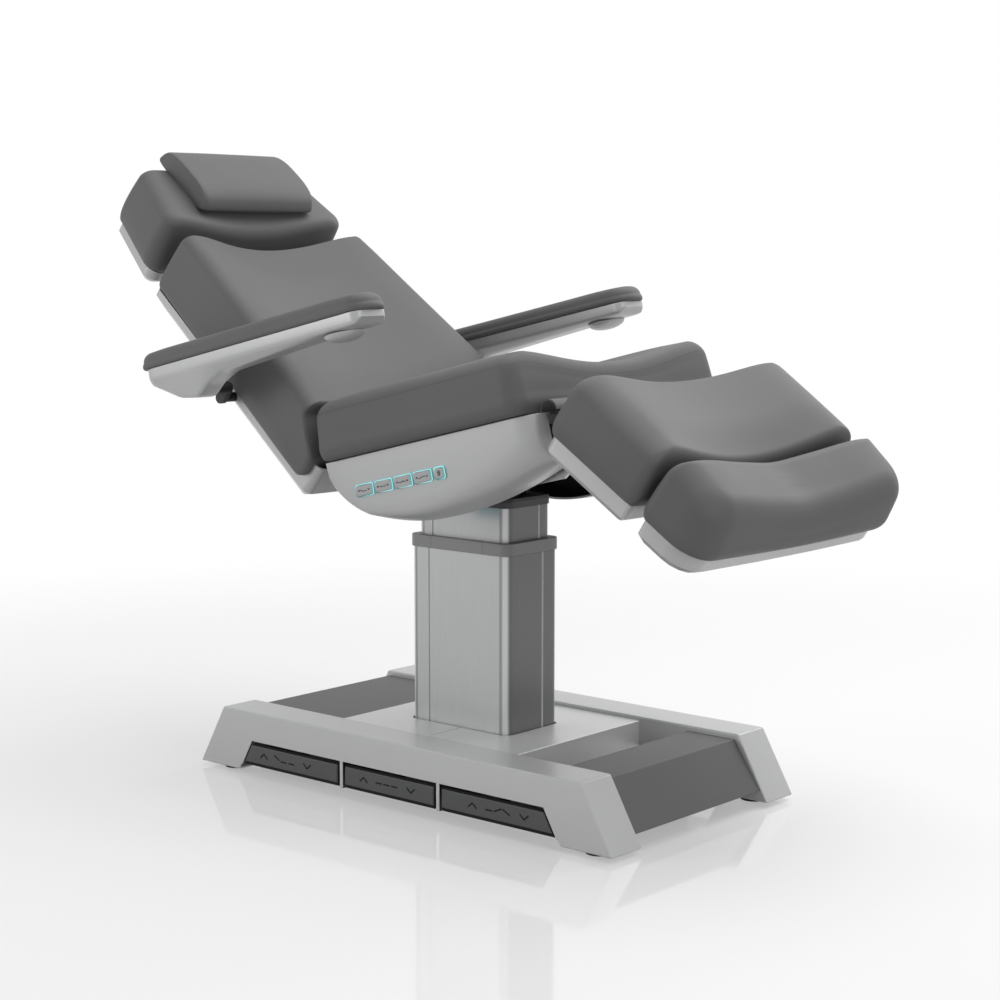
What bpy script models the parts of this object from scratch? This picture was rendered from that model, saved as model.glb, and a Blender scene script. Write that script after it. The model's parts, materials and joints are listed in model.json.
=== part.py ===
# Electric procedure table: a lifting column on a railed base carries a tilting seat,
# a reclining back with head section and arms, and a leg section with a pull-out foot section.
# Metres, +Z up. +X points to the foot end, -Y is the patient's right side.
import bpy
import bmesh
import math
from mathutils import Matrix, Vector

# Clearances
GAP = 0.0003            # between pieces that touch
RUN = 0.0004            # radial play of a turning pin
SIDES = 20              # facets of a turned piece
CUT_OVER = 0.010        # how far a cutting tool runs past what it cuts
WELD = 0.004            # how far a welded piece runs into its plate
PIN_END = 0.004         # pin end past the last plate on it

# Base
FOOT_H = 0.010          # levelling foot under each rail end
FOOT_R = 0.026
FOOT_INSET = 0.066      # foot centre from the rail's tip
FOOT_RIM = 0.6          # share of the foot's height below its taper
FOOT_TAPER = 0.8        # foot's top radius over its rim
BASE_W = 0.600
RAIL_T = 0.092
RAIL_H = 0.130
RAIL_TOP_L = 0.985
RAIL_FOOT_L = 1.134
ARCH_TOP_L = 0.808
ARCH_FOOT_L = 0.886
ARCH_H = 0.068
DIVIDER_T = 0.008       # webs between the pedals
DIVIDER_X = 0.134
DIVIDER_LOW = 0.012
RAIL_EDGE = 0.005
BAY_WALL = 0.012        # back wall of the pedal bays
BAY_STEP = 0.001        # bay end in from the arch below it
DECK_DROP = 0.008       # deck top below the rail top
DECK_REAR = -0.240
DECK_FRONT = 0.244
SHEET_T = 0.003
SLOT_GAP = 0.003        # black gap around the column
PANEL_DROP = 0.0105     # end panel top below the rail top
PANEL_TOP_X = 0.485
PANEL_FOOT_X = 0.5486
PANEL_FOOT_Z = 0.023
FOOT_PANEL_BACK = 0.368
FRAME_PLATE_T = 0.010
FRAME_PLATE_Z = 0.014
FRAME_PLATE_L = 0.560

# Pedals
PEDAL_T = 0.008
PEDAL_RECESS = 0.002
PEDAL_TOP_GAP = 0.0055
PEDAL_END_GAP = 0.005
PEDAL_LOW = 0.014
PEDAL_EDGE = 0.0015
POST_R = 0.006
BOSS_R = 0.012
BOSS_LIFT = 0.004       # boss ends in from the pedal's edges
BOSS_DROP = 0.008
POST_BACK = 0.030       # post axis behind the pedal's face
PEDAL_BAR_T = 0.006
PEDAL_BAR_END = 0.020   # bar end in from the arch

# Column
COLUMN_X = -0.009
OUTER_L = 0.268
OUTER_W = 0.165
OUTER_WALL = 0.006
OUTER_TOP = 0.489
COLUMN_R = 0.020
COLLAR_L = 0.2730
COLLAR_W = 0.1720
COLLAR_H = 0.026
INNER_L = 0.248
INNER_W = 0.1410
INNER_WALL = 0.005
INNER_SHOWN = 0.096     # inner stage above the outer one at rest
INNER_TOP = OUTER_TOP + INNER_SHOWN
INNER_LENGTH = 0.480
GROOVE_W = 0.003
GROOVE_D = 0.002
SIDE_GROOVE_X = -0.080  # on the near long face; the far one has it half a turn round
END_GROOVE_Y = 0.030    # on the short faces, the same way
CAP_T = 0.019
CAP_LIP = 0.002
LIFT_TUBE_R = 0.030
LIFT_TUBE_TOP = 0.330
LIFT_ROD_R = 0.014
LIFT_ROD_LENGTH = 0.420
LIFT_BOX_X = (-0.050, 0.075)
LIFT_BOX_HALF_W = 0.038
LIFT_BOX_H = 0.055
LIFT_FLOOR = 0.005      # under the lift rod's bore

# Seat frame and its tilt axis, in the seat's own frame
SEAT_TILT = 13.4        # degrees, front end up
TILT_RISE = 0.077       # tilt pin above the inner column
TILT_Z = INNER_TOP + TILT_RISE
PIN_R = 0.011
LUG_R = 0.020
YOKE_INNER = 0.032
YOKE_T = 0.011
YOKE_FRONT = 0.078
YOKE_STEP = 0.025
LUG_T = 0.010
SEAT_PLATE_T = 0.018
SEAT_PLATE_TOP = 0.0516
SEAT_PLATE_W = 0.250
SEAT_PLATE_REAR = -0.150
SEAT_PLATE_FRONT = 0.362
CHEEK_Y = 0.184
CHEEK_T = 0.006
CHEEK_REAR = 0.165
CHEEK_FRONT = 0.394
CHEEK_LOW = -0.0727
CHEEK_CORNER = (0.030, 0.020)
CHEEK_RAKE = 0.040
HINGE_LUG_Y = 0.135
HINGE_LUG_T = 0.012
HINGE_LUG_R = 0.018
LUG_ROOT = 0.030        # lug's root inside the seat plate
LUG_STEP = 0.001        # lug faces in from the plate's

# Back, leg and head hinges, in the frames that carry them
BACK_HINGE = (-0.2296, 0.0259)
BACK_ANGLE = 51.9       # degrees between seat line and back line
LEG_HINGE = (0.4264, 0.0239)
LEG_ANGLE = 46.4
HEAD_HINGE = (-0.6391, -0.0067)
HEAD_PIN_R = 0.009
HEAD_LUG_Y = (0.090, 0.115)
HEAD_LUG_ROOT = -0.045
HEAD_LUG_Z = (-0.013, 0.0115)
HEAD_LUG_WALL = 0.005

# Side covers
COVER_TOP = 0.0514
COVER_REAR = -0.160
COVER_FRONT = 0.4064
COVER_W = 0.305
COVER_WALL = 0.004
COVER_LOW_X = 0.0834
COVER_LOW = -0.1031
COVER_INNER_Y = 0.205
COVER_BELLY_Y = 0.250
COVER_FRONT_SLOPE = 0.55
CREASE_X = 0.0584
CREASE_LOW = -0.0757
CREASE_SLOPE = 0.72
COVER_CORNER_R = 0.050
COVER_PULL = 0.9        # share of the front corner that draws the side in
COVER_TIP = 0.0005      # keeps the rear end's curve from closing
COVER_LEAN = 0.004      # side's draft down to the crease
COVER_KNEE = 0.006      # belly's bulge between crease and lowest line
KNEE_SHARE = 0.35
COVER_LIP = 0.002
KNEE_RISE = 0.9         # inner face over the outer one, in walls
CREASE_RISE = 0.4
REAR_SHARES = (0.05, 0.123, 0.226, 0.35, 0.514, 0.74, 1.0)
FRONT_STEPS = 4
CORNER_SHARES = (0.39, 0.71, 0.89, 1.0)

# Buttons in the right cover
BUTTON_Z = -0.0183
BUTTON_FIRST_X = -0.0513
BUTTON_L = 0.046
BUTTON_H = 0.021
BUTTON_GAP = 0.008      # between two buttons
SMALL_BUTTON_L = 0.024
SMALL_BUTTON_GAP = 0.0108
BUTTON_R = 0.005
BUTTON_EDGE = 0.001
BUTTON_T = 0.010
BUTTON_PROUD = 0.003
BUTTON_PLAY = 0.0008

# Cushions
CUSHION_TUCK = 0.010
CREST_W = 0.055         # crest's roll in plan, along the sides
CREST_END = 0.026       # and along the ends
CREST_H = 0.034
END_BOW = 0.003
CREST_INSET = 0.003     # crest line in from the widest line
TOP_DRAW = 0.050        # how far the hollow's rings draw in at the ends
DRAW_SHARE = 0.8        # and at most this share of a short cushion's room
CORNER_MIN = 0.006
LEAN_SHARE = 0.66       # share of the depth over which an end leans
SEAT_CUSHION = (-0.1566, 0.4004)
SEAT_CUSHION_Z = (0.0519, 0.1759)
SEAT_HALF_W = 0.330
SEAT_CORNERS = (0.030, 0.040)
BACK_CUSHION = (-0.6316, -0.0360)
BACK_CUSHION_Z = (0.0048, 0.1560, 0.1700)
BACK_TOP_HALF_W = 0.282
BACK_LOW_HALF_W = 0.324
BACK_CORNERS = (0.020, 0.030)
BACK_LEAN = 0.088       # lower end cut back for the upright back
BACK_SHELL_HALF_W = 0.314
BACK_RAMP_START = -0.120
BACK_RAMP_SLOPE = 0.47
BACK_RAMP_RISE = 0.050
RAMP_LAG = 0.005        # shell rim's ramp starts nearer the hinge
RAMP_STEPS = (0.0, 0.795, 0.9, 1.0)
HEAD_CUSHION = (-0.2220, -0.0095)
HEAD_CUSHION_Z = (0.0140, 0.1560)
HEAD_TOP_HALF_W = 0.236
HEAD_LOW_HALF_W = 0.268
HEAD_CORNERS = (0.020, 0.040)
HEAD_LEAN = 0.012
CALF_CUSHION = (0.0200, 0.2680)
CALF_CUSHION_Z = (0.0110, 0.1460)
CALF_CORNERS = (0.030, 0.020)
LEG_HALF_W = 0.331
FOOT_CUSHION = (0.2735, 0.4250)
FOOT_CUSHION_Z = (0.0110, 0.1500, 0.1220)
FOOT_CORNERS = (0.020, 0.070)
DISH = 0.033
SIDE_STEPS = (0.0, 0.17, 0.34, 0.5, 0.66, 0.83, 1.0)
PLAIN_STEPS = (0.0, 1.0)
END_STEPS = (0.0, 0.35, 0.7, 1.0)
CORNER_TURNS = (22, 45, 68)
CREST_TURNS = (0, 32, 62, 90)
SIDE_RINGS = ((1.0, 0.0), (0.35, 0.12), (0.0, 0.42))   # share of the tuck, share of the depth
TOP_STEPS = (0.24, 0.48, 0.72, 0.93)
FLAP_W = 0.042
FLAP_H = 0.022
FLAP_T = 0.003
FLAP_HALF_L = 0.270
FLAP_STEPS = 12

# Shells under the cushions
SHELL_WALL = 0.005
SHELL_INSET = 0.012     # shell edge in from the cushion's widest line
TRAY_CHAMFER = 0.012
BACK_CHAMFER = 0.020
CHAMFER_SHARE = 0.6     # inner chamfer over the outer one
BACK_SHELL_LOW = -0.0317
BACK_SHELL_END = 0.0290
HEAD_SHELL_LOW = -0.0200
LEG_SHELL_LOW = -0.0320
BAR_ROOM = 0.006        # shell opening beside the bars
BACK_HINGE_CUT = -0.034
BACK_HEAD_CUT = 0.040
LEG_HINGE_CUT = 0.052
CUT_TOP = 0.090         # above every shell's rim

# Frames inside the shells
BAR_Y = 0.1478
BAR_T = 0.012
BACK_CROSSES = (-0.560, -0.310)
CALF_CROSSES = (0.110, 0.205)
LEVER_R = 0.055
BACK_LEVER_TURN = 16.9  # degrees from straight down at rest
LEG_LEVER_R = 0.050
LEG_LEVER_TURN = 15.2
LEVER_PIN_R = 0.006
LEVER_STEP = 0.001      # lever plate in from the faces of its bar
CROSS_T = 0.014
CROSS_STEP = (0.006, 0.004)     # cross bar in from the bars' edges
EYE_REACH = (0.004, 0.022)      # where a bar's edges meet its eye
LEVER_ROOT = 0.8        # lever's half-width at the hinge, in lug radii
LEVER_TIP = 0.6         # and at its tip, of that
LEVER_END = 0.010
PIN_SHORT = 0.002
TUBE_END = 0.003
CALF_BAR_END = 0.030

# Arms
ARM_PIVOT = (-0.2726, 0.0197)
ARM_SLOPE = 51.0        # degrees between back line and arm line
ARM_Y = 0.405
ARM_HALF_W = 0.044
ARM_PIN_R = 0.009
ARM_REAR = -0.1270
ARM_FRONT = 0.5450
ARM_PAD_Z = (0.0607, 0.0963)
ARM_UNDER = ((-0.1030, 0.0253), (-0.0271, -0.0120), (0.0300, -0.0210), (0.0637, -0.0040),
             (0.1134, 0.0100), (0.2987, 0.0169), (0.4000, 0.0288), (0.5230, 0.0325))
ARM_NOSE = (0.006, 0.0500)      # shell front in from the pad, and its corner height
ARM_TAIL = 0.026
ARM_BAND_Z = 0.0364     # lower line of the upright side
ARM_STATIONS = ((-1.0, True, 0.024), (-0.86, True, 0.010), (-0.58, False, 0.0),
                (0.58, False, 0.0), (0.86, True, 0.010), (1.0, True, 0.024))
ARM_PAD_LIP = 0.003     # pad past the shell's sides
ARM_PAD_CORNER = (0.040, 0.010)
ARM_PAD_RINGS = ((0.004, 0.0), (0.0, 0.22), (0.001, 0.60), (0.006, 0.86), (0.016, 0.97), (0.030, 1.0))
ARM_PIN_L = 0.026       # pin inside the arm
ARM_PIN_ROOM = 0.002
ARM_BOSS_WALL = 0.005
KNUCKLE_SINK = 0.005
ARM_STEM_R = 0.010
ARM_STEM_Z = -0.0080
KNUCKLE_Y = (0.3160, 0.3280)
KNUCKLE_R = 0.0125
KNOB_X = ARM_FRONT - 0.095
KNOB_R = 0.041
KNOB_H = 0.016
KNOB_PROFILE = ((1.0, 0.0), (0.97, 0.22), (0.86, 0.52), (0.66, 0.78), (0.40, 0.94), (0.14, 1.0))

# Pillow on the head section
PILLOW_X = (-0.2480, -0.0700)
PILLOW_HALF_L = 0.167
PILLOW_H = 0.062
PILLOW_SINK = 0.005
PILLOW_GAP = 0.0005
PILLOW_RIM = 0.010      # straight edge above the underside's ends
PILLOW_CROWN_AT = 0.75
PILLOW_ENDS = ((0.90, 1.0), (0.97, 0.93), (1.0, 0.80))    # share of the length, share of the section
PILLOW_MIDDLE = (-0.6, -0.3, 0.0, 0.3, 0.6)
PILLOW_POWERS = (0.62, 0.75)
PILLOW_ARC_STEPS = 14
PILLOW_FLOOR = (-0.92, -0.45, 0.0, 0.45, 0.92)

# Foot slide
SLIDE_Y = 0.100
SLIDE_R = 0.008
SLIDE_Z = -0.0085
SLIDE_REAR = 0.050
SLIDE_FRONT = 0.395
SLIDE_TIE = (0.030, 0.006)      # tie bar from the slide's front end
TIE_END = 0.020

# Actuators under the seat
TUBE_R = 0.020
ROD_R = 0.008
EYE_T = 0.014
EYE_L = 0.014
EYE_WALL = 0.005
EYE_END = 0.002
SLOT_PLAY = 0.0020
TILT_LEVER_R = 0.030
BACK_TUBE = (0.120, -0.085)     # closed end and mouth
LEG_TUBE = (0.170, 0.340)
TILT_TUBE = (0.350, 0.165)
BACK_ROD_LIFT = 0.0035  # rod above the lever's pin at rest
LEG_ROD_LIFT = 0.003
GEARBOX_L = 0.060
GEARBOX_WALL = 0.003
BORE_FLOOR = 0.055
ROD_KEEP = 0.085        # rod inside its tube


def clear_scene():
    for item in list(bpy.data.objects):
        bpy.data.objects.remove(item, do_unlink=True)


def material(name, colour, roughness, metallic=0.0):
    made = bpy.data.materials.new(name)
    made.use_nodes = True
    shader = made.node_tree.nodes["Principled BSDF"]
    shader.inputs["Base Color"].default_value = (*colour, 1.0)
    shader.inputs["Roughness"].default_value = roughness
    shader.inputs["Metallic"].default_value = metallic
    return made


def axis_empty(name, place, parent=None, turn=0.0):
    empty = bpy.data.objects.new(name, None)
    bpy.context.scene.collection.objects.link(empty)
    empty.parent = parent
    empty.location = place
    empty.rotation_euler = (0.0, math.radians(turn), 0.0)
    return empty


def mesh_object(name, bm, look=None, parent=None):
    bmesh.ops.recalc_face_normals(bm, faces=bm.faces[:])
    mesh = bpy.data.meshes.new(name)
    bm.to_mesh(mesh)
    bm.free()
    made = bpy.data.objects.new(name, mesh)
    bpy.context.scene.collection.objects.link(made)
    made.parent = parent
    if look is not None:
        mesh.materials.append(look)
    return made


def baked(item):
    # Replace an object's mesh by what its modifiers make of it
    bpy.context.view_layer.update()
    shape = item.evaluated_get(bpy.context.evaluated_depsgraph_get())
    mesh = bpy.data.meshes.new_from_object(shape)
    item.modifiers.clear()
    item.data = mesh
    return item


def combine(item, tools, operation):
    # Boolean with each tool in turn; the tools are placed in the same parent frame
    for tool in tools:
        tool.parent = item.parent
        change = item.modifiers.new(operation, "BOOLEAN")
        change.operation = operation
        change.object = tool
        baked(item)
        bpy.data.objects.remove(tool, do_unlink=True)
    return item


def soften(item, width, segments=2, angle=35.0):
    edge = item.modifiers.new("edge", "BEVEL")
    edge.width = width
    edge.segments = segments
    edge.limit_method = "ANGLE"
    edge.angle_limit = math.radians(angle)
    return baked(item)


def loft(name, loops, look=None, parent=None, zipped=False):
    # Closed body through loops of equal length; end loops that aren't flat are zipped across their middle
    bm = bmesh.new()
    rows = [[bm.verts.new(point) for point in loop] for loop in loops]
    count = len(rows[0])
    for low, high in zip(rows, rows[1:]):
        for i in range(count):
            j = (i + 1) % count
            bm.faces.new((low[i], low[j], high[j], high[i]))
    for row in (rows[0], rows[-1]):
        if not zipped:
            bm.faces.new(row)
            continue
        for i in range(count // 2):
            corners = [row[i], row[i + 1], row[count - i - 1], row[-i % count]]
            bm.faces.new(list(dict.fromkeys(corners)))
    if zipped:
        bmesh.ops.triangulate(bm, faces=bm.faces[:])
    return mesh_object(name, bm, look, parent)


def prism_y(name, outline, low, high, look=None, parent=None):
    # Outline of (x, z) points carried from y = low to y = high
    loops = [[(x, y, z) for x, z in outline] for y in (low, high)]
    return loft(name, loops, look, parent)


def prism_z(name, outline, low, high, look=None, parent=None):
    loops = [[(x, y, z) for x, y in outline] for z in (low, high)]
    return loft(name, loops, look, parent)


def block(name, low, high, look=None, parent=None):
    outline = [(low[0], low[1]), (high[0], low[1]), (high[0], high[1]), (low[0], high[1])]
    return prism_z(name, outline, low[2], high[2], look, parent)


def circle(centre, radius, sides=SIDES):
    turn = [2 * math.pi * (i + 0.5) / sides for i in range(sides)]
    return [(centre[0] + radius * math.cos(a), centre[1] + radius * math.sin(a)) for a in turn]


def arc(centre, radius, first, last, steps):
    turn = [math.radians(first + (last - first) * i / steps) for i in range(steps + 1)]
    return [(centre[0] + radius * math.cos(a), centre[1] + radius * math.sin(a)) for a in turn]


def rod_y(name, centre, radius, low, high, look=None, parent=None, sides=SIDES):
    return prism_y(name, circle(centre, radius, sides), low, high, look, parent)


def rod_x(name, centre, radius, low, high, look=None, parent=None, sides=SIDES):
    ring = circle(centre, radius, sides)
    return loft(name, [[(x, y, z) for y, z in ring] for x in (low, high)], look, parent)


def rod_z(name, centre, radius, low, high, look=None, parent=None, sides=SIDES):
    return prism_z(name, circle(centre, radius, sides), low, high, look, parent)


def bore_radius(pin):
    # The facets of a bore stay clear of a turning pin
    return (pin + RUN) / math.cos(math.pi / SIDES)


def rounded_box(length, width, radius, centre_x=0.0, notches=()):
    # Plan outline of a column, with one groove on each long face ("side") or short face ("end")
    half_l = length / 2
    half_w = width / 2
    outline = []
    corners = [(1, -1, -90), (1, 1, 0), (-1, 1, 90), (-1, -1, 180)]
    for side_x, side_y, first in corners:
        centre = (side_x * (half_l - radius), side_y * (half_w - radius))
        outline += arc(centre, radius, first, first + 90, 5)
        if first == -90 and "end" in notches:
            outline += notch((half_l, END_GROOVE_Y), (0, 1), (-1, 0))
        if first == 0 and "side" in notches:
            outline += notch((-SIDE_GROOVE_X, half_w), (-1, 0), (0, -1))
        if first == 90 and "end" in notches:
            outline += notch((-half_l, -END_GROOVE_Y), (0, -1), (1, 0))
        if first == 180 and "side" in notches:
            outline += notch((SIDE_GROOVE_X, -half_w), (1, 0), (0, 1))
    return [(x + centre_x, y) for x, y in outline]


def notch(place, along, inward):
    steps = [(-0.5, 0.0), (-0.5, 1.0), (0.5, 1.0), (0.5, 0.0)]
    points = []
    for run, depth in steps:
        x = place[0] + along[0] * run * GROOVE_W + inward[0] * depth * GROOVE_D
        y = place[1] + along[1] * run * GROOVE_W + inward[1] * depth * GROOVE_D
        points.append((x, y))
    return points


def tube_z(name, outer, inner, low, high, look, parent=None):
    body = prism_z(name, outer, low, high, look, parent)
    return combine(body, [prism_z("bore", inner, low - CUT_OVER, high + CUT_OVER)], "DIFFERENCE")


# Base

def rail_outline(arch_h):
    # Trapezium with sloping ends and an arch between the feet
    foot = RAIL_FOOT_L / 2
    top = RAIL_TOP_L / 2
    arch = ARCH_FOOT_L / 2
    roof = arch_half(arch_h)
    low = FOOT_H
    outline = [(-foot, low), (-arch, low), (-roof, low + arch_h), (roof, low + arch_h), (arch, low)]
    return outline + [(foot, low), (top, low + RAIL_H), (-top, low + RAIL_H)]


def arch_half(height):
    # Half length of the arch at a height above the rail's foot
    return ARCH_FOOT_L / 2 - (ARCH_FOOT_L - ARCH_TOP_L) / 2 * height / ARCH_H


def pedal_bays():
    # Openings in the right rail, with two webs left standing between them
    low = -DIVIDER_LOW / 2
    wide = arch_half(low) - BAY_STEP
    roof = arch_half(ARCH_H) - BAY_STEP
    web = DIVIDER_X + DIVIDER_T / 2
    middle = DIVIDER_X - DIVIDER_T / 2
    spans = [(-wide, -web, -web, -roof), (-middle, middle, middle, -middle), (web, wide, roof, web)]
    back = -BASE_W / 2 + RAIL_T - BAY_WALL
    bays = []
    for x0, x1, x2, x3 in spans:
        outline = [(x0, FOOT_H + low), (x1, FOOT_H + low), (x2, FOOT_H + ARCH_H), (x3, FOOT_H + ARCH_H)]
        bays.append(prism_y("bay", outline, -BASE_W / 2 - CUT_OVER, back))
    return bays


def base_rails(silver):
    outer = BASE_W / 2
    inner = outer - RAIL_T
    right = prism_y("base_rail_right", rail_outline(DIVIDER_LOW), -outer, -inner, silver)
    soften(right, RAIL_EDGE / 2, 1)
    combine(right, pedal_bays(), "DIFFERENCE")
    y = pedal_axis_y()
    roof = FOOT_H + ARCH_H
    slots = []
    for middle in (-DIVIDER_X, DIVIDER_X):
        slots.append(block("slot", (middle - DIVIDER_T, y - BOSS_R - GAP, roof - PEDAL_BAR_T - GAP),
                           (middle + DIVIDER_T, y + BOSS_R + GAP, roof + GAP)))
    combine(right, slots, "DIFFERENCE")
    left = prism_y("base_rail_left", rail_outline(ARCH_H), inner, outer, silver)
    soften(left, RAIL_EDGE / 2, 1)


def base_deck(silver):
    half = BASE_W / 2 - RAIL_T - GAP
    top = FOOT_H + RAIL_H - DECK_DROP
    low = FRAME_PLATE_Z + FRAME_PLATE_T + GAP
    sheet = SHEET_T
    outline = [(DECK_REAR, low), (DECK_REAR + sheet, low), (DECK_REAR + sheet, top - sheet)]
    outline += [(DECK_FRONT - sheet, top - sheet), (DECK_FRONT - sheet, low), (DECK_FRONT, low)]
    outline += [(DECK_FRONT, top), (DECK_REAR, top)]
    deck = prism_y("base_deck", outline, -half, half, silver)
    opening = rounded_box(OUTER_L + 2 * SLOT_GAP, OUTER_W + 2 * SLOT_GAP, COLUMN_R, COLUMN_X)
    combine(deck, [prism_z("slot", opening, top - 2 * sheet, top + sheet)], "DIFFERENCE")


def end_panel_outline(inner_x, foot_x, top_x):
    # Folded sheet: back wall, top and sloping front, drawn for the foot end
    top = FOOT_H + RAIL_H - PANEL_DROP
    low = FOOT_H + PANEL_FOOT_Z
    sheet = SHEET_T
    lean = (foot_x - top_x) / (top - low)
    outline = [(inner_x, low), (inner_x + sheet, low), (inner_x + sheet, top - sheet)]
    outline += [(top_x - sheet + lean * sheet, top - sheet), (foot_x - sheet, low)]
    outline += [(foot_x, low), (top_x, top), (inner_x, top)]
    return outline


def end_panels(dark):
    half = BASE_W / 2 - RAIL_T - GAP
    foot = end_panel_outline(FOOT_PANEL_BACK, PANEL_FOOT_X, PANEL_TOP_X)
    prism_y("foot_end_panel", foot, -half, half, dark)
    head = end_panel_outline(GAP - DECK_REAR, PANEL_FOOT_X, PANEL_TOP_X)
    prism_y("head_end_panel", [(-x, z) for x, z in head], -half, half, dark)


def base_frame(steel):
    # Cross plate between the rails with side flanges and the column's foot
    half = BASE_W / 2 - RAIL_T - GAP
    low = FRAME_PLATE_Z
    plate = block("base_frame", (-FRAME_PLATE_L / 2, -half, low),
                  (FRAME_PLATE_L / 2, half, low + FRAME_PLATE_T), steel)
    flange_top = FOOT_H + RAIL_H - DECK_DROP - SHEET_T - GAP
    flanges = []
    for side in (-1, 1):
        edges = sorted((side * half, side * (half - 2 * SHEET_T)))
        flanges.append(block("flange", (DECK_REAR + 2 * SHEET_T, edges[0], low),
                             (DECK_FRONT - 2 * SHEET_T, edges[1], flange_top)))
    combine(plate, flanges, "UNION")


def level_feet(rubber):
    y = BASE_W / 2 - RAIL_T / 2
    x = RAIL_FOOT_L / 2 - FOOT_INSET
    for end, name_x in ((-1, "head"), (1, "foot")):
        for side, name_y in ((-1, "right"), (1, "left")):
            place = (end * x, side * y)
            rings = [(FOOT_R, 0.0), (FOOT_R, FOOT_RIM * FOOT_H), (FOOT_TAPER * FOOT_R, FOOT_H - GAP)]
            loops = [[(px, py, z) for px, py in circle(place, r)] for r, z in rings]
            loft("level_foot_" + name_x + "_" + name_y, loops, rubber)


def pedal_spans():
    # Each pedal's (left low, left high, right low, right high) ends, in X
    low_edge = FOOT_H + PEDAL_LOW
    high_edge = FOOT_H + ARCH_H - PEDAL_TOP_GAP
    lean = (ARCH_FOOT_L - ARCH_TOP_L) / 2 / ARCH_H
    low_x = ARCH_FOOT_L / 2 - lean * (low_edge - FOOT_H) - PEDAL_END_GAP
    high_x = ARCH_FOOT_L / 2 - lean * (high_edge - FOOT_H) - PEDAL_END_GAP
    web = DIVIDER_X + DIVIDER_T / 2 + PEDAL_END_GAP
    middle = DIVIDER_X - DIVIDER_T / 2 - PEDAL_END_GAP
    return {
        "pedal_back": (-low_x, -high_x, -web, -web),
        "pedal_lift": (-middle, -middle, middle, middle),
        "pedal_leg": (web, web, low_x, high_x),
    }


def pedal_post_x(span):
    return (span[0] + span[1] + span[2] + span[3]) / 4


def pedal_axis_y():
    return -BASE_W / 2 + PEDAL_RECESS + POST_BACK


def pedals(dark):
    low = FOOT_H + PEDAL_LOW
    high = FOOT_H + ARCH_H - PEDAL_TOP_GAP
    face = -BASE_W / 2 + PEDAL_RECESS
    for name, span in pedal_spans().items():
        post = (pedal_post_x(span), pedal_axis_y())
        axis = axis_empty(name + "_axis", (post[0], post[1], 0.0))
        shift = post[0]
        outline = [(span[0] - shift, low), (span[2] - shift, low)]
        outline += [(span[3] - shift, high), (span[1] - shift, high)]
        front = face - post[1]
        plate = prism_y(name, outline, front, front + PEDAL_T, dark, axis)
        soften(plate, PEDAL_EDGE, 1)
        ends = (low + BOSS_LIFT, high - BOSS_DROP)
        web = block("web", (-BOSS_R, front + PEDAL_T / 2, ends[0]), (BOSS_R, 0.0, ends[1]))
        boss = rod_z("boss", (0.0, 0.0), BOSS_R, ends[0], ends[1])
        combine(plate, [web, boss], "UNION")
        bore = rod_z("bore", (0.0, 0.0), bore_radius(POST_R), low - CUT_OVER, high + CUT_OVER)
        combine(plate, [bore], "DIFFERENCE")


def pedal_bar(steel):
    # Bar inside the rail with an upright post for each pedal
    y = pedal_axis_y()
    low = FOOT_H + PEDAL_LOW + BOSS_LIFT
    roof = FOOT_H + ARCH_H
    half = ARCH_TOP_L / 2 - PEDAL_BAR_END
    bar = block("pedal_bar", (-half, y - BOSS_R, roof - PEDAL_BAR_T),
                (half, y + BOSS_R, roof - GAP), steel)
    posts = []
    for span in pedal_spans().values():
        posts.append(rod_z("post", (pedal_post_x(span), y), POST_R, low, roof - PEDAL_BAR_T / 2))
    combine(bar, posts, "UNION")


# Column

def column(aluminium, plastic, dark, steel):
    low = FRAME_PLATE_Z + FRAME_PLATE_T + GAP
    top = FOOT_H + OUTER_TOP
    outer = rounded_box(OUTER_L, OUTER_W, COLUMN_R, COLUMN_X, ("side", "end"))
    wall = 2 * OUTER_WALL
    inner = rounded_box(OUTER_L - wall, OUTER_W - wall, COLUMN_R - OUTER_WALL, COLUMN_X)
    tube_z("column_outer", outer, inner, low, top, aluminium)
    slide = rounded_box(INNER_L + 2 * RUN, INNER_W + 2 * RUN, COLUMN_R, COLUMN_X)
    ring = rounded_box(COLLAR_L, COLLAR_W, COLUMN_R, COLUMN_X)
    tube_z("column_collar", ring, slide, top + GAP, top + COLLAR_H, plastic)
    stage_top = FOOT_H + INNER_TOP
    stage = rounded_box(INNER_L, INNER_W, COLUMN_R, COLUMN_X, ("side", "end"))
    wall = 2 * INNER_WALL
    hollow = rounded_box(INNER_L - wall, INNER_W - wall, COLUMN_R - INNER_WALL, COLUMN_X)
    tube_z("column_inner", stage, hollow, stage_top - INNER_LENGTH, stage_top, aluminium)
    column_head(dark, stage_top + GAP)
    lift_actuator(steel, dark, low, stage_top)


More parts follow.
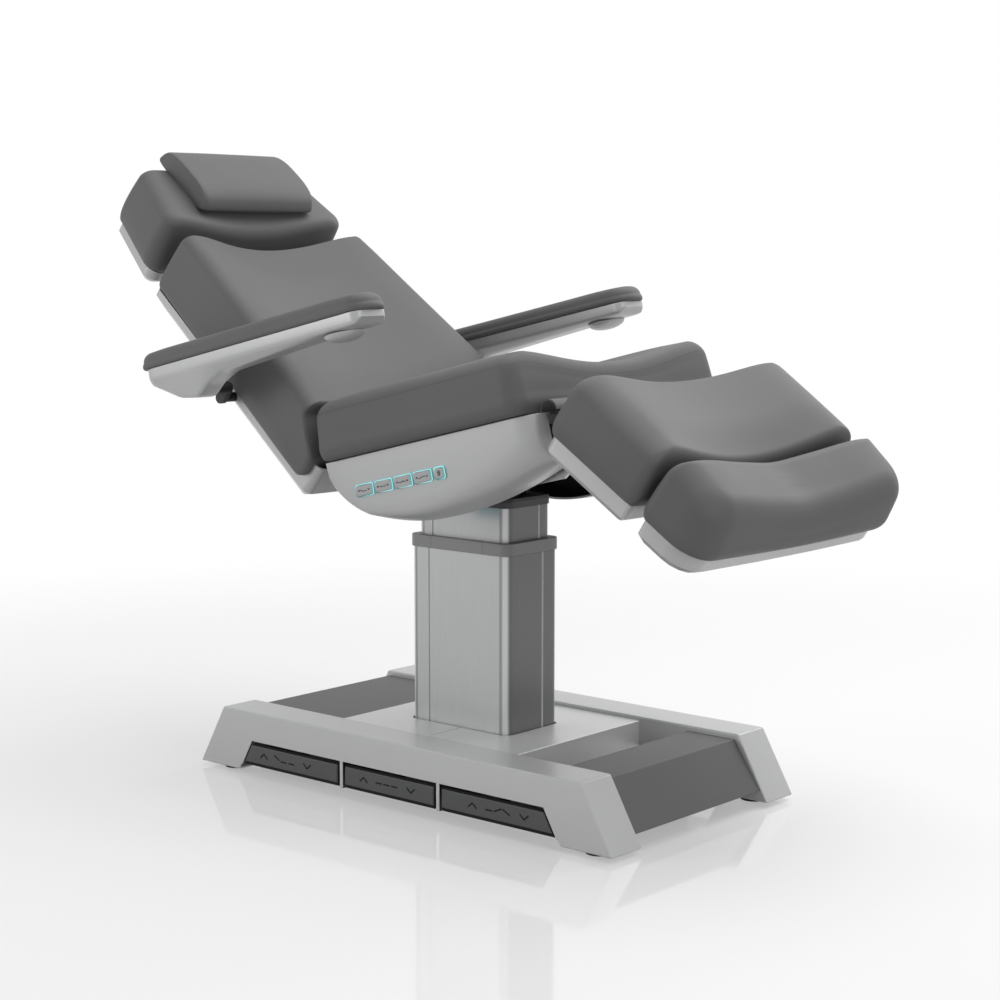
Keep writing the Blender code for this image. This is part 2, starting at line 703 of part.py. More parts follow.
def column_head(dark, low):
    # Cap plate on the inner column with two cheeks for the tilt pin and a cross pin for the tilt rod
    lip = 2 * CAP_LIP
    plate = rounded_box(INNER_L + lip, INNER_W + lip, COLUMN_R, COLUMN_X)
    top = low + CAP_T
    axis_z = FOOT_H + TILT_Z
    head = prism_z("column_head", plate, low, top, dark)
    cheek = [(COLUMN_X - 2 * LUG_R, top - CAP_T / 2), (YOKE_FRONT, top - CAP_T / 2)]
    cheek += [(YOKE_FRONT, top + YOKE_STEP)] + arc((COLUMN_X, axis_z), LUG_R, 40, 190, 10)
    cheeks = []
    for side in (-1, 1):
        edges = sorted((side * YOKE_INNER, side * (YOKE_INNER + YOKE_T)))
        cheeks.append(prism_y("cheek", cheek, edges[0], edges[1]))
    combine(head, cheeks, "UNION")
    reach = YOKE_INNER + 2 * YOKE_T
    bore = rod_y("bore", (COLUMN_X, axis_z), bore_radius(PIN_R), -reach, reach)
    combine(head, [bore], "DIFFERENCE")
    cross = rod_y("cross", (COLUMN_X, axis_z - TILT_LEVER_R), LEVER_PIN_R,
                  -YOKE_INNER - YOKE_T / 2, YOKE_INNER + YOKE_T / 2)
    combine(head, [cross], "UNION")


def lift_actuator(steel, dark, low, stage_top):
    centre = (COLUMN_X, 0.0)
    body = rod_z("lift_actuator", centre, LIFT_TUBE_R, low, FOOT_H + LIFT_TUBE_TOP, dark)
    gearbox = block("gearbox", (COLUMN_X + LIFT_BOX_X[0], -LIFT_BOX_HALF_W, low),
                    (COLUMN_X + LIFT_BOX_X[1], LIFT_BOX_HALF_W, low + LIFT_BOX_H))
    combine(body, [gearbox], "UNION")
    bore = rod_z("bore", centre, bore_radius(LIFT_ROD_R), low + LIFT_BOX_H + LIFT_FLOOR,
                 FOOT_H + LIFT_TUBE_TOP + CUT_OVER)
    combine(body, [bore], "DIFFERENCE")
    rod_z("lift_rod", centre, LIFT_ROD_R, stage_top - LIFT_ROD_LENGTH, stage_top, steel)


# Seat

def lug_plate(name, root, hinge, radius, low, high):
    # Plate from a frame edge to a hinge eye; root is its (x, low z, high z)
    toward = 1 if hinge[0] > root[0] else -1
    first = -90 if toward > 0 else 90
    outline = [(root[0], root[2]), (root[0], root[1])]
    if toward < 0:
        outline.reverse()
    outline += arc(hinge, radius, first, first + 180, 10)
    return prism_y(name, outline, low, high)


def seat_frame(steel, axis):
    low = SEAT_PLATE_TOP - SEAT_PLATE_T
    plate = block("seat_frame", (SEAT_PLATE_REAR, -SEAT_PLATE_W, low),
                  (SEAT_PLATE_FRONT, SEAT_PLATE_W, SEAT_PLATE_TOP), steel, axis)
    bits = []
    for side in (-1, 1):
        edges = sorted((side * CHEEK_Y, side * (CHEEK_Y + CHEEK_T)))
        outline = [(CHEEK_REAR, CHEEK_LOW), (CHEEK_FRONT - CHEEK_CORNER[0], CHEEK_LOW)]
        outline += [(CHEEK_FRONT, CHEEK_LOW + CHEEK_CORNER[1])]
        outline += [(CHEEK_FRONT, low + WELD), (CHEEK_REAR - CHEEK_RAKE, low + WELD)]
        bits.append(prism_y("cheek", outline, edges[0], edges[1]))
        start = YOKE_INNER + YOKE_T + GAP
        edges = sorted((side * start, side * (start + LUG_T)))
        lug = [(-2 * LUG_R, low + WELD)] + arc((0.0, 0.0), LUG_R, 180, 360, 12) + [(2 * LUG_R, low + WELD)]
        bits.append(prism_y("lug", lug, edges[0], edges[1]))
        edges = sorted((side * HINGE_LUG_Y, side * (HINGE_LUG_Y + HINGE_LUG_T)))
        faces = (low + LUG_STEP, SEAT_PLATE_TOP - LUG_STEP)
        rear = (SEAT_PLATE_REAR + LUG_ROOT, *faces)
        bits.append(lug_plate("rear", rear, BACK_HINGE, HINGE_LUG_R, edges[0], edges[1]))
        front = (SEAT_PLATE_FRONT - LUG_ROOT, *faces)
        bits.append(lug_plate("front", front, LEG_HINGE, HINGE_LUG_R, edges[0], edges[1]))
    combine(plate, bits, "UNION")
    reach = HINGE_LUG_Y + 3 * HINGE_LUG_T
    bores = [rod_y("bore", (0.0, 0.0), PIN_R + GAP, -reach, reach)]
    bores.append(rod_y("bore", BACK_HINGE, PIN_R + GAP, -reach, reach))
    bores.append(rod_y("bore", LEG_HINGE, PIN_R + GAP, -reach, reach))
    combine(plate, bores, "DIFFERENCE")


def seat_pins(steel, axis):
    reach = YOKE_INNER + YOKE_T + LUG_T + PIN_END
    rod_y("tilt_pin", (0.0, 0.0), PIN_R, -reach, reach, steel, axis)
    reach = BAR_Y + BAR_T + PIN_END
    rod_y("back_hinge_rod", BACK_HINGE, PIN_R, -reach, reach, steel, axis)
    rod_y("leg_hinge_rod", LEG_HINGE, PIN_R, -reach, reach, steel, axis)


def cover_bottom(x):
    # Ellipse behind the lowest point, parabola in front of it
    if x < COVER_LOW_X:
        share = (COVER_LOW_X - x) / (COVER_LOW_X - COVER_REAR + COVER_TIP)
        return COVER_LOW + (COVER_TOP - COVER_LOW) * (1 - math.sqrt(max(0.0, 1 - share ** 2)))
    return COVER_LOW + COVER_FRONT_SLOPE * (x - COVER_LOW_X) ** 2


def cover_crease(x):
    crease = CREASE_LOW + CREASE_SLOPE * (x - CREASE_X) ** 2
    return min(max(crease, cover_bottom(x) + 2 * COVER_WALL), COVER_TOP - 2 * COVER_WALL)


def cover_section(x):
    # C-shaped wall: top flange, outer side down to the crease, belly turned under to the inner edge
    wall = COVER_WALL
    corner = max(0.0, x - (COVER_FRONT - COVER_CORNER_R)) / COVER_CORNER_R
    pull = COVER_CORNER_R * (1 - math.sqrt(max(0.0, 1 - corner ** 2)))
    side = COVER_W - COVER_PULL * pull
    top = COVER_TOP
    low = min(cover_bottom(x), top - 5 * wall)
    crease = max(cover_crease(x), low + 2 * wall)
    belly = min(COVER_BELLY_Y, side - 5 * wall)
    edge = min(COVER_INNER_Y, belly - 5 * wall)
    flange = min(SEAT_PLATE_W + GAP, side - 2 * wall)
    knee = (side + belly) / 2 + COVER_KNEE
    knee_z = low + KNEE_SHARE * (crease - low)
    fold = side - COVER_LEAN
    outer = [(flange, top), (side, top), (fold, crease), (knee, knee_z), (belly, low)]
    outer.append((edge, low + COVER_LIP))
    inner = [(edge, low + COVER_LIP + wall), (belly, low + wall), (knee - wall, knee_z + KNEE_RISE * wall)]
    inner += [(fold - wall, crease + CREASE_RISE * wall), (side - wall, top - wall), (flange, top - wall)]
    return outer + inner


def cover_stations():
    # Sections close together where the rear end and the front corner curve
    turn = COVER_FRONT - COVER_CORNER_R
    stations = [COVER_REAR + share * (COVER_LOW_X - COVER_REAR) for share in REAR_SHARES]
    stations += [COVER_LOW_X + i * (turn - COVER_LOW_X) / FRONT_STEPS for i in range(1, FRONT_STEPS + 1)]
    return stations + [turn + share * COVER_CORNER_R for share in CORNER_SHARES]


def side_covers(silver, axis):
    for side, name in ((-1, "right"), (1, "left")):
        loops = [[(x, side * y, z) for y, z in cover_section(x)] for x in cover_stations()]
        cover = loft("side_cover_" + name, loops, silver, axis)
        if name == "right":
            combine(cover, button_holes(), "DIFFERENCE")


def button_places():
    # A row of equal buttons and a smaller one after it, each with its middle and length
    places = {}
    end = BUTTON_FIRST_X - BUTTON_L / 2
    for name in ("back", "lift", "leg", "tilt"):
        places["button_" + name] = (end + BUTTON_L / 2, BUTTON_L)
        end += BUTTON_L + BUTTON_GAP
    end += SMALL_BUTTON_GAP - BUTTON_GAP
    places["button_lamp"] = (end + SMALL_BUTTON_L / 2, SMALL_BUTTON_L)
    return places


def button_outline(middle, length, grow):
    half_l = length / 2 + grow
    half_h = BUTTON_H / 2 + grow
    radius = BUTTON_R
    outline = []
    for side_x, side_z, first in ((1, -1, -90), (1, 1, 0), (-1, 1, 90), (-1, -1, 180)):
        centre = (middle + side_x * (half_l - radius), BUTTON_Z + side_z * (half_h - radius))
        outline += arc(centre, radius, first, first + 90, 3)
    return outline


def button_holes():
    holes = []
    for middle, length in button_places().values():
        outline = button_outline(middle, length, BUTTON_PLAY)
        holes.append(prism_y("hole", outline, -COVER_W - CUT_OVER, -COVER_W + 4 * COVER_WALL))
    return holes


def buttons(plastic, axis):
    front = -COVER_W - BUTTON_PROUD
    for name, (middle, length) in button_places().items():
        outline = button_outline(middle, length, 0.0)
        key = prism_y(name, outline, front, front + BUTTON_T, plastic, axis)
        soften(key, BUTTON_EDGE, 1, 60.0)


# Cushions and shells

def plan_half(x0, x1, w0, w1, r0, r1, along):
    # Half outline of a rounded trapezium with slightly bowed ends, from the middle of one end to the other
    points = [(x0 + END_BOW * share ** 2, share * (w0 - r0)) for share in END_STEPS]
    end0 = x0 + END_BOW
    end1 = x1 - END_BOW
    for angle in CORNER_TURNS:
        turn = math.radians(angle)
        points.append((end0 + r0 - r0 * math.cos(turn), w0 - r0 + r0 * math.sin(turn)))
    span = (end0 + r0, end1 - r1)
    for share in along:
        x = span[0] + share * (span[1] - span[0])
        points.append((x, w0 + (w1 - w0) * share))
    for angle in CORNER_TURNS[::-1]:
        turn = math.radians(angle)
        points.append((end1 - r1 + r1 * math.cos(turn), w1 - r1 + r1 * math.sin(turn)))
    points += [(x1 - END_BOW * share ** 2, share * (w1 - r1)) for share in END_STEPS[::-1]]
    return points


def mirrored(half):
    return half + [(x, -y) for x, y in half[-2:0:-1]]


class Pad:
    # A cushion's plan and height, which its shell and the pieces on it share
    def __init__(self, ends, widths, low, crests, corners, lean=(0.0, 0.0), ramp=None):
        self.ends = ends
        self.widths = widths
        self.low = low
        self.crests = crests
        self.corners = corners
        self.lean = lean
        self.ramp = ramp

    def plan(self, inset, height=0.0, along=SIDE_STEPS, end=None):
        # Outline drawn in by inset, or end along the ends, which lean with height, a share of the depth
        end = inset if end is None else end
        reach = min(1.0, height / LEAN_SHARE)
        x0 = self.ends[0] + end + self.lean[0] * reach
        x1 = self.ends[1] - end - self.lean[1] * reach
        radii = [max(CORNER_MIN, corner - end) for corner in self.corners]
        return plan_half(x0, x1, self.widths[0] - inset, self.widths[1] - inset, *radii, along)

    def base(self, x):
        # Flat, or rising from the ramp's start
        if self.ramp is None:
            return self.low
        start, slope, rise = self.ramp
        return self.low + min(rise, max(0.0, slope * (x - start)))

    def width(self, x):
        share = (x - self.ends[0]) / (self.ends[1] - self.ends[0])
        return self.widths[0] + (self.widths[1] - self.widths[0]) * share

    def crest(self, x):
        share = min(1.0, max(0.0, (x - self.ends[0]) / (self.ends[1] - self.ends[0])))
        return self.crests[0] + (self.crests[1] - self.crests[0]) * share

    def top(self, x, y):
        # Raised sides and a hollow middle
        share = min(1.0, abs(y) / (self.width(x) - CREST_INSET - CREST_W))
        return self.crest(x) - DISH * math.cos(math.pi / 2 * share) ** 2


def cushion(name, pad, look, parent):
    # Rings from the tucked-in underside, out over the bulging sides and crest, into the hollow
    crest = min(pad.crests)
    loops = []
    for share, height in SIDE_RINGS:
        plan = mirrored(pad.plan(share * CUSHION_TUCK, height))
        loops.append([(x, y, pad.base(x) + height * (crest - pad.base(x))) for x, y in plan])
    for angle in CREST_TURNS:
        turn = math.radians(angle)
        roll = 1 - math.cos(turn)
        drop = CREST_H * (1 - math.sin(turn))
        half = pad.plan(CREST_INSET + CREST_W * roll, 1.0, end=CREST_INSET + CREST_END * roll)
        loops.append([(x, y, pad.top(x, y) - drop) for x, y in mirrored(half)])
    inner = CREST_INSET + CREST_END
    room = (pad.ends[1] - pad.ends[0] - sum(pad.lean)) / 2 - inner
    draw = min(TOP_DRAW, DRAW_SHARE * room)
    for share in TOP_STEPS:
        half = pad.plan(CREST_INSET + CREST_W, 1.0, end=inner + draw * share)
        ring = [(x, y * (1 - share)) for x, y in half]
        loops.append([(x, y, pad.top(x, y)) for x, y in mirrored(ring)])
    return loft(name, loops, look, parent, zipped=True)


def tray(name, pad, low, look, parent, chamfer=TRAY_CHAMFER, along=PLAIN_STEPS):
    # Open tray under a cushion, with its outer bottom edge drawn in
    wall = SHELL_WALL
    inner = SHELL_INSET + wall
    steps = [(inner + chamfer, low + wall), (inner, low + wall + CHAMFER_SHARE * chamfer), (inner, None)]
    steps += [(SHELL_INSET, None), (SHELL_INSET, low + chamfer), (SHELL_INSET + chamfer, low)]
    loops = []
    for inset, level in steps:
        plan = mirrored(pad.plan(inset, along=along))
        loops.append([(x, y, pad.base(x) - GAP if level is None else level) for x, y in plan])
    return loft(name, loops, look, parent)


def seat_pad():
    return Pad(SEAT_CUSHION, (SEAT_HALF_W, SEAT_HALF_W), SEAT_CUSHION_Z[0],
               (SEAT_CUSHION_Z[1], SEAT_CUSHION_Z[1]), SEAT_CORNERS)


def back_pad():
    return Pad(BACK_CUSHION, (BACK_TOP_HALF_W, BACK_LOW_HALF_W), BACK_CUSHION_Z[0],
               BACK_CUSHION_Z[1:], BACK_CORNERS, lean=(0.0, BACK_LEAN),
               ramp=(BACK_RAMP_START, BACK_RAMP_SLOPE, BACK_RAMP_RISE))


def back_shell_pad():
    # The shell is narrower at the hinge than the cushion, and its rim keeps below the rising cushion
    start = BACK_RAMP_START + RAMP_LAG
    return Pad((BACK_CUSHION[0], BACK_SHELL_END + SHELL_INSET), (BACK_TOP_HALF_W, BACK_SHELL_HALF_W),
               BACK_CUSHION_Z[0], BACK_CUSHION_Z[1:], BACK_CORNERS,
               ramp=(start, BACK_RAMP_SLOPE, BACK_RAMP_RISE))


def head_pad():
    return Pad(HEAD_CUSHION, (HEAD_TOP_HALF_W, HEAD_LOW_HALF_W), HEAD_CUSHION_Z[0],
               (HEAD_CUSHION_Z[1], HEAD_CUSHION_Z[1]), HEAD_CORNERS, lean=(0.0, HEAD_LEAN))


def calf_pad():
    return Pad(CALF_CUSHION, (LEG_HALF_W, LEG_HALF_W), CALF_CUSHION_Z[0],
               (CALF_CUSHION_Z[1], CALF_CUSHION_Z[1]), CALF_CORNERS)


def foot_pad():
    return Pad(FOOT_CUSHION, (LEG_HALF_W, LEG_HALF_W), FOOT_CUSHION_Z[0],
               FOOT_CUSHION_Z[1:], FOOT_CORNERS)


def leg_flap(leather, axis):
    # Arched strip of upholstery over the leg hinge
    middle = SEAT_CUSHION[1] + GAP + FLAP_W / 2
    base = SEAT_CUSHION_Z[0]
    outline = []
    for radius_x, radius_z, order in ((FLAP_W / 2, FLAP_H, 1), (FLAP_W / 2 - FLAP_T, FLAP_H - FLAP_T, -1)):
        curve = [math.pi * i / FLAP_STEPS for i in range(FLAP_STEPS + 1)]
        ring = [(middle + radius_x * math.cos(a), base + radius_z * math.sin(a)) for a in curve]
        outline += ring[::order]
    prism_y("leg_flap", outline, -FLAP_HALF_L, FLAP_HALF_L, leather, axis)


# Back and head

def side_bars(name, far, low, high, crosses, look, parent):
    # Two flat bars inside a shell, each with an eye on the hinge, joined by cross bars
    toward = 1 if far > 0 else -1
    outline = [(far, high), (far, low), (toward * EYE_REACH[0], low)]
    outline += [(-toward * x, z) for x, z in arc((0.0, 0.0), HINGE_LUG_R, -75, 105, 12)]
    outline.append((toward * EYE_REACH[1], high))
    bars = []
    for side in (-1, 1):
        edges = sorted((side * BAR_Y, side * (BAR_Y + BAR_T)))
        bars.append(prism_y(name, outline, edges[0], edges[1], look, parent))
    ties = [bars.pop()]
    reach = BAR_Y + BAR_T / 3
    levels = (low + CROSS_STEP[0], high - CROSS_STEP[1])
    for x in crosses:
        ties.append(block("cross", (x, -reach, levels[0]), (x + CROSS_T, reach, levels[1])))
    return combine(bars[0], ties, "UNION")


def lever(side, reach, rest_turn):
    # Plate beside the hinge eye with a pin that the actuator's slotted rod drives
    tip = (-reach * math.sin(math.radians(rest_turn)), -reach * math.cos(math.radians(rest_turn)))
    along = Vector((tip[0], tip[1])).normalized()
    across = Vector((-along.y, along.x)) * HINGE_LUG_R * LEVER_ROOT
    end = Vector(tip) + along * LEVER_END
    corners = [across, -across, end - LEVER_TIP * across, end + LEVER_TIP * across]
    outline = [(corner.x, corner.y) for corner in corners]
    edges = sorted((side * (BAR_Y + LEVER_STEP), side * (BAR_Y + BAR_T - LEVER_STEP)))
    plate = prism_y("lever", outline, edges[0], edges[1])
    edges = sorted((side * (BAR_Y - HINGE_LUG_T - EYE_T + PIN_SHORT), side * (BAR_Y + BAR_T / 2)))
    pin = rod_y("pin", tip, LEVER_PIN_R, edges[0], edges[1])
    return [plate, pin]


def back_frame(steel, axis):
    low = BACK_SHELL_LOW + SHELL_WALL + GAP
    high = BACK_CUSHION_Z[0] - GAP
    frame = side_bars("back_frame", HEAD_HINGE[0], low, high, BACK_CROSSES, steel, axis)
    reach = BAR_Y + BAR_T + TUBE_END
    tube = rod_y("head_tube", HEAD_HINGE, HEAD_PIN_R, -reach, reach)
    combine(frame, [tube] + lever(1, LEVER_R, BACK_LEVER_TURN - BACK_ANGLE), "UNION")
    reach = BAR_Y + 2 * BAR_T
    bore = rod_y("bore", (0.0, 0.0), bore_radius(PIN_R), -reach, reach)
    combine(frame, [bore], "DIFFERENCE")


def back_shell(silver, axis):
    shell = tray("back_shell", back_shell_pad(), BACK_SHELL_LOW, silver, axis, BACK_CHAMFER, RAMP_STEPS)
    inner = BAR_Y + BAR_T + BAR_ROOM
    lower = block("lower", (BACK_HINGE_CUT, -inner, BACK_SHELL_LOW - CUT_OVER),
                  (BACK_SHELL_END + CUT_OVER, inner, CUT_TOP))
    upper = block("upper", (BACK_CUSHION[0] - CUT_OVER, -inner, BACK_SHELL_LOW + SHELL_WALL - LUG_STEP),
                  (BACK_CUSHION[0] + BACK_HEAD_CUT, inner, CUT_TOP))
    stem = rod_y("stem", (ARM_PIVOT[0], ARM_STEM_Z), ARM_STEM_R + GAP, -ARM_Y, ARM_Y)
    combine(shell, [lower, upper, stem], "DIFFERENCE")


def head_shell(silver, axis):
    shell = tray("head_shell", head_pad(), HEAD_SHELL_LOW, silver, axis)
    lugs = []
    for side in (-1, 1):
        edges = sorted((side * HEAD_LUG_Y[0], side * HEAD_LUG_Y[1]))
        outline = [(HEAD_LUG_ROOT, HEAD_LUG_Z[0])] + arc((0.0, 0.0), HEAD_PIN_R + HEAD_LUG_WALL, -95, 85, 8)
        outline.append((HEAD_LUG_ROOT, HEAD_LUG_Z[1]))
        lugs.append(prism_y("lug", outline, edges[0], edges[1]))
    combine(shell, lugs, "UNION")
    reach = HEAD_LUG_Y[1] + CUT_OVER
    bore = rod_y("bore", (0.0, 0.0), bore_radius(HEAD_PIN_R), -reach, reach)
    combine(shell, [bore], "DIFFERENCE")


def pillow(leather, axis, under):
    # D-shaped bolster; its underside is cut to the hollow of the head cushion
    pad = head_pad()
    ends = [(-share, puff) for share, puff in PILLOW_ENDS]
    stations = ends[::-1] + [(share, 1.0) for share in PILLOW_MIDDLE] + list(PILLOW_ENDS)
    middle = (PILLOW_X[0] + PILLOW_X[1]) / 2
    half = (PILLOW_X[1] - PILLOW_X[0]) / 2
    loops = []
    crown = pad.top(middle, PILLOW_CROWN_AT * PILLOW_HALF_L) + PILLOW_H
    rim = pad.top(middle, PILLOW_HALF_L) - PILLOW_SINK + PILLOW_RIM
    for share, puff in stations:
        y = share * PILLOW_HALF_L
        seat = pad.top(middle, y) - PILLOW_SINK
        loop = []
        for i in range(PILLOW_ARC_STEPS + 1):
            turn = math.pi * i / PILLOW_ARC_STEPS
            out = math.copysign(abs(math.cos(turn)) ** PILLOW_POWERS[0], math.cos(turn))
            up = abs(math.sin(turn)) ** PILLOW_POWERS[1]
            loop.append((middle + half * puff * out, y, rim + (crown - rim) * puff * up))
        for reach in PILLOW_FLOOR:
            loop.append((middle + half * puff * reach, y, seat))
        loops.append(loop)
    bolster = loft("pillow", loops, leather, axis)
    raised = under.copy()
    raised.data = under.data.copy()
    raised.data.transform(Matrix.Translation((0.0, 0.0, PILLOW_GAP)))
    bpy.context.scene.collection.objects.link(raised)
    combine(bolster, [raised], "DIFFERENCE")


# Arms

def arm_bracket(name, side, dark, axis):
    # Stem from the back frame through the shell, knuckle plate and pivot pin
    reach = sorted((side * (BAR_Y + BAR_T + GAP), side * KNUCKLE_Y[1]))
    stem = rod_y(name, (ARM_PIVOT[0], ARM_STEM_Z), ARM_STEM_R, reach[0], reach[1], dark, axis)
    foot = (ARM_PIVOT[0], ARM_STEM_Z)
    outline = arc(foot, KNUCKLE_R, 180, 360, 8) + arc(ARM_PIVOT, KNUCKLE_R, 0, 180, 8)
    edges = sorted((side * KNUCKLE_Y[0], side * KNUCKLE_Y[1]))
    knuckle = prism_y("knuckle", outline, edges[0], edges[1])
    inner = ARM_Y - ARM_HALF_W
    root = KNUCKLE_Y[1] - KNUCKLE_SINK
    edges = sorted((side * root, side * (inner - GAP)))
    boss = rod_y("boss", ARM_PIVOT, ARM_PIN_R + ARM_BOSS_WALL, edges[0], edges[1])
    edges = sorted((side * root, side * (inner + ARM_PIN_L)))
    pin = rod_y("pin", ARM_PIVOT, ARM_PIN_R, edges[0], edges[1])
    combine(stem, [knuckle, boss, pin], "UNION")


def arm_outline(banded, draw):
    # Side outline of an arm shell; a banded one stops at the side's lower line, draw pulls the ends in
    top = ARM_PAD_Z[0] - GAP
    low = [(x, max(z, ARM_BAND_Z) if banded else z) for x, z in ARM_UNDER]
    low[0] = (low[0][0] + draw, low[0][1])
    low[-1] = (low[-1][0] - draw, low[-1][1])
    front = ARM_FRONT - ARM_NOSE[0] - draw
    return low + [(front, ARM_NOSE[1]), (front, top), (ARM_REAR + ARM_TAIL + draw, top)]


def arm_shell(name, side, silver, axis):
    loops = []
    for share, banded, draw in ARM_STATIONS:
        loops.append([(x, share * ARM_HALF_W, z) for x, z in arm_outline(banded, draw)])
    shell = loft(name, loops, silver, axis)
    inner = -side * ARM_HALF_W
    edges = sorted((inner - side * CUT_OVER, inner + side * (ARM_PIN_L + ARM_PIN_ROOM)))
    bore = rod_y("bore", (0.0, 0.0), bore_radius(ARM_PIN_R), edges[0], edges[1])
    combine(shell, [bore], "DIFFERENCE")


def arm_pad(name, leather, axis):
    low = ARM_PAD_Z[0]
    deep = ARM_PAD_Z[1] - low
    loops = []
    for inset, height in ARM_PAD_RINGS:
        wide = ARM_HALF_W + ARM_PAD_LIP - inset
        corner = max(ARM_PAD_CORNER[1], ARM_PAD_CORNER[0] - inset)
        half = plan_half(ARM_REAR + inset, ARM_FRONT - inset, wide, wide, corner, corner, PLAIN_STEPS)
        loops.append([(x, y, low + height * deep) for x, y in mirrored(half)])
    loft(name, loops, leather, axis)


def arm_knob(name, silver, axis):
    # Shallow dome under the front of the arm, on the slope of its underside
    rear, front = ARM_UNDER[-2:]
    slope = (front[1] - rear[1]) / (front[0] - rear[0])
    top = rear[1] + slope * (KNOB_X - rear[0]) - GAP
    loops = []
    for share, depth in KNOB_PROFILE:
        ring = circle((KNOB_X, 0.0), KNOB_R * share)
        loops.append([(x, y, top + slope * (x - KNOB_X) - KNOB_H * depth) for x, y in ring])
    loft(name, loops, silver, axis)


def arms(silver, leather, dark, back_axis):
    for side, name in ((-1, "right"), (1, "left")):
        arm_bracket("arm_bracket_" + name, side, dark, back_axis)
        place = (ARM_PIVOT[0], side * ARM_Y, ARM_PIVOT[1])
        axis = axis_empty("arm_axis_" + name, place, back_axis, -ARM_SLOPE)
        arm_shell("arm_shell_" + name, side, silver, axis)
        arm_pad("arm_pad_" + name, leather, axis)
        arm_knob("arm_knob_" + name, silver, axis)


# Legs

def calf_frame(steel, axis):
    low = LEG_SHELL_LOW + SHELL_WALL + GAP
    high = CALF_CUSHION_Z[0] - GAP
    frame = side_bars("calf_frame", CALF_CUSHION[1] - CALF_BAR_END, low, high, CALF_CROSSES, steel, axis)
    combine(frame, lever(-1, LEG_LEVER_R, LEG_LEVER_TURN - LEG_ANGLE), "UNION")
    reach = BAR_Y + 2 * BAR_T
    cuts = [rod_y("bore", (0.0, 0.0), bore_radius(PIN_R), -reach, reach)]
    for side in (-1, 1):
        cuts.append(rod_x("guide", (side * SLIDE_Y, SLIDE_Z), bore_radius(SLIDE_R), 0.0, SLIDE_FRONT))
    combine(frame, cuts, "DIFFERENCE")


def calf_shell(silver, axis):
    shell = tray("calf_shell", calf_pad(), LEG_SHELL_LOW, silver, axis)
    inner = BAR_Y + BAR_T + BAR_ROOM
    cuts = [block("rear", (0.0, -inner, LEG_SHELL_LOW - CUT_OVER), (LEG_HINGE_CUT, inner, CUT_TOP))]
    ends = (CALF_CUSHION[1] - CALF_BAR_END, CALF_CUSHION[1] + CUT_OVER)
    for side in (-1, 1):
        cuts.append(rod_x("hole", (side * SLIDE_Y, SLIDE_Z), bore_radius(SLIDE_R), *ends))
    combine(shell, cuts, "DIFFERENCE")


def foot_section(silver, leather, steel, axis):
    pad = foot_pad()
    cushion("foot_cushion", pad, leather, axis)
    shell = tray("foot_shell", pad, LEG_SHELL_LOW, silver, axis)
    ends = (FOOT_CUSHION[0] - CUT_OVER, FOOT_CUSHION[0] + CALF_BAR_END)
    holes = []
    for side in (-1, 1):
        holes.append(rod_x("hole", (side * SLIDE_Y, SLIDE_Z), SLIDE_R + GAP, *ends))
    combine(shell, holes, "DIFFERENCE")
    slide = rod_x("foot_slide", (-SLIDE_Y, SLIDE_Z), SLIDE_R, SLIDE_REAR, SLIDE_FRONT, steel, axis)
    other = rod_x("other", (SLIDE_Y, SLIDE_Z), SLIDE_R, SLIDE_REAR, SLIDE_FRONT)
    low = LEG_SHELL_LOW + SHELL_WALL + GAP
    tie = block("tie", (SLIDE_FRONT - SLIDE_TIE[0], -SLIDE_Y - TIE_END, low),
                (SLIDE_FRONT - SLIDE_TIE[1], SLIDE_Y + TIE_END, FOOT_CUSHION_Z[0] - GAP))
    combine(slide, [other, tie], "UNION")


# Actuators

def actuator(name, y, z, tube, eye_x, look_body, look_rod, axis):
    # Tube with gearbox at its closed end under the seat plate, and a push rod with a slotted eye
    closed, mouth = tube
    toward = 1 if mouth > closed else -1
    ends = sorted((closed, mouth))
    body = rod_x(name, (y, z), TUBE_R, ends[0], ends[1], look_body, axis)
    box = sorted((closed, closed + toward * GEARBOX_L))
    half = TUBE_R + GEARBOX_WALL
    plate = SEAT_PLATE_TOP - SEAT_PLATE_T - GAP
    gearbox = block("gearbox", (box[0], y - half, z - half), (box[1], y + half, plate))
    combine(body, [gearbox], "UNION")
    ends = sorted((closed + toward * BORE_FLOOR, mouth + toward * CUT_OVER))
    combine(body, [rod_x("bore", (y, z), bore_radius(ROD_R), ends[0], ends[1])], "DIFFERENCE")
    ends = sorted((mouth - toward * ROD_KEEP, eye_x))
    rod = rod_x(name + "_rod", (y, z), ROD_R, ends[0], ends[1], look_rod, axis)
    half = LEVER_PIN_R + SLOT_PLAY
    reach = half + EYE_WALL
    eye = block("eye", (eye_x - reach, y - EYE_T / 2, z - EYE_L), (eye_x + reach, y + EYE_T / 2, z + EYE_L))
    combine(rod, [eye], "UNION")
    deep = EYE_L - EYE_END
    slot = block("slot", (eye_x - half, y - EYE_T, z - deep), (eye_x + half, y + EYE_T, z + deep))
    combine(rod, [slot], "DIFFERENCE")


def lever_tip(hinge, reach, rest_turn):
    turn = math.radians(rest_turn)
    return hinge[0] - reach * math.sin(turn), hinge[1] - reach * math.cos(turn)


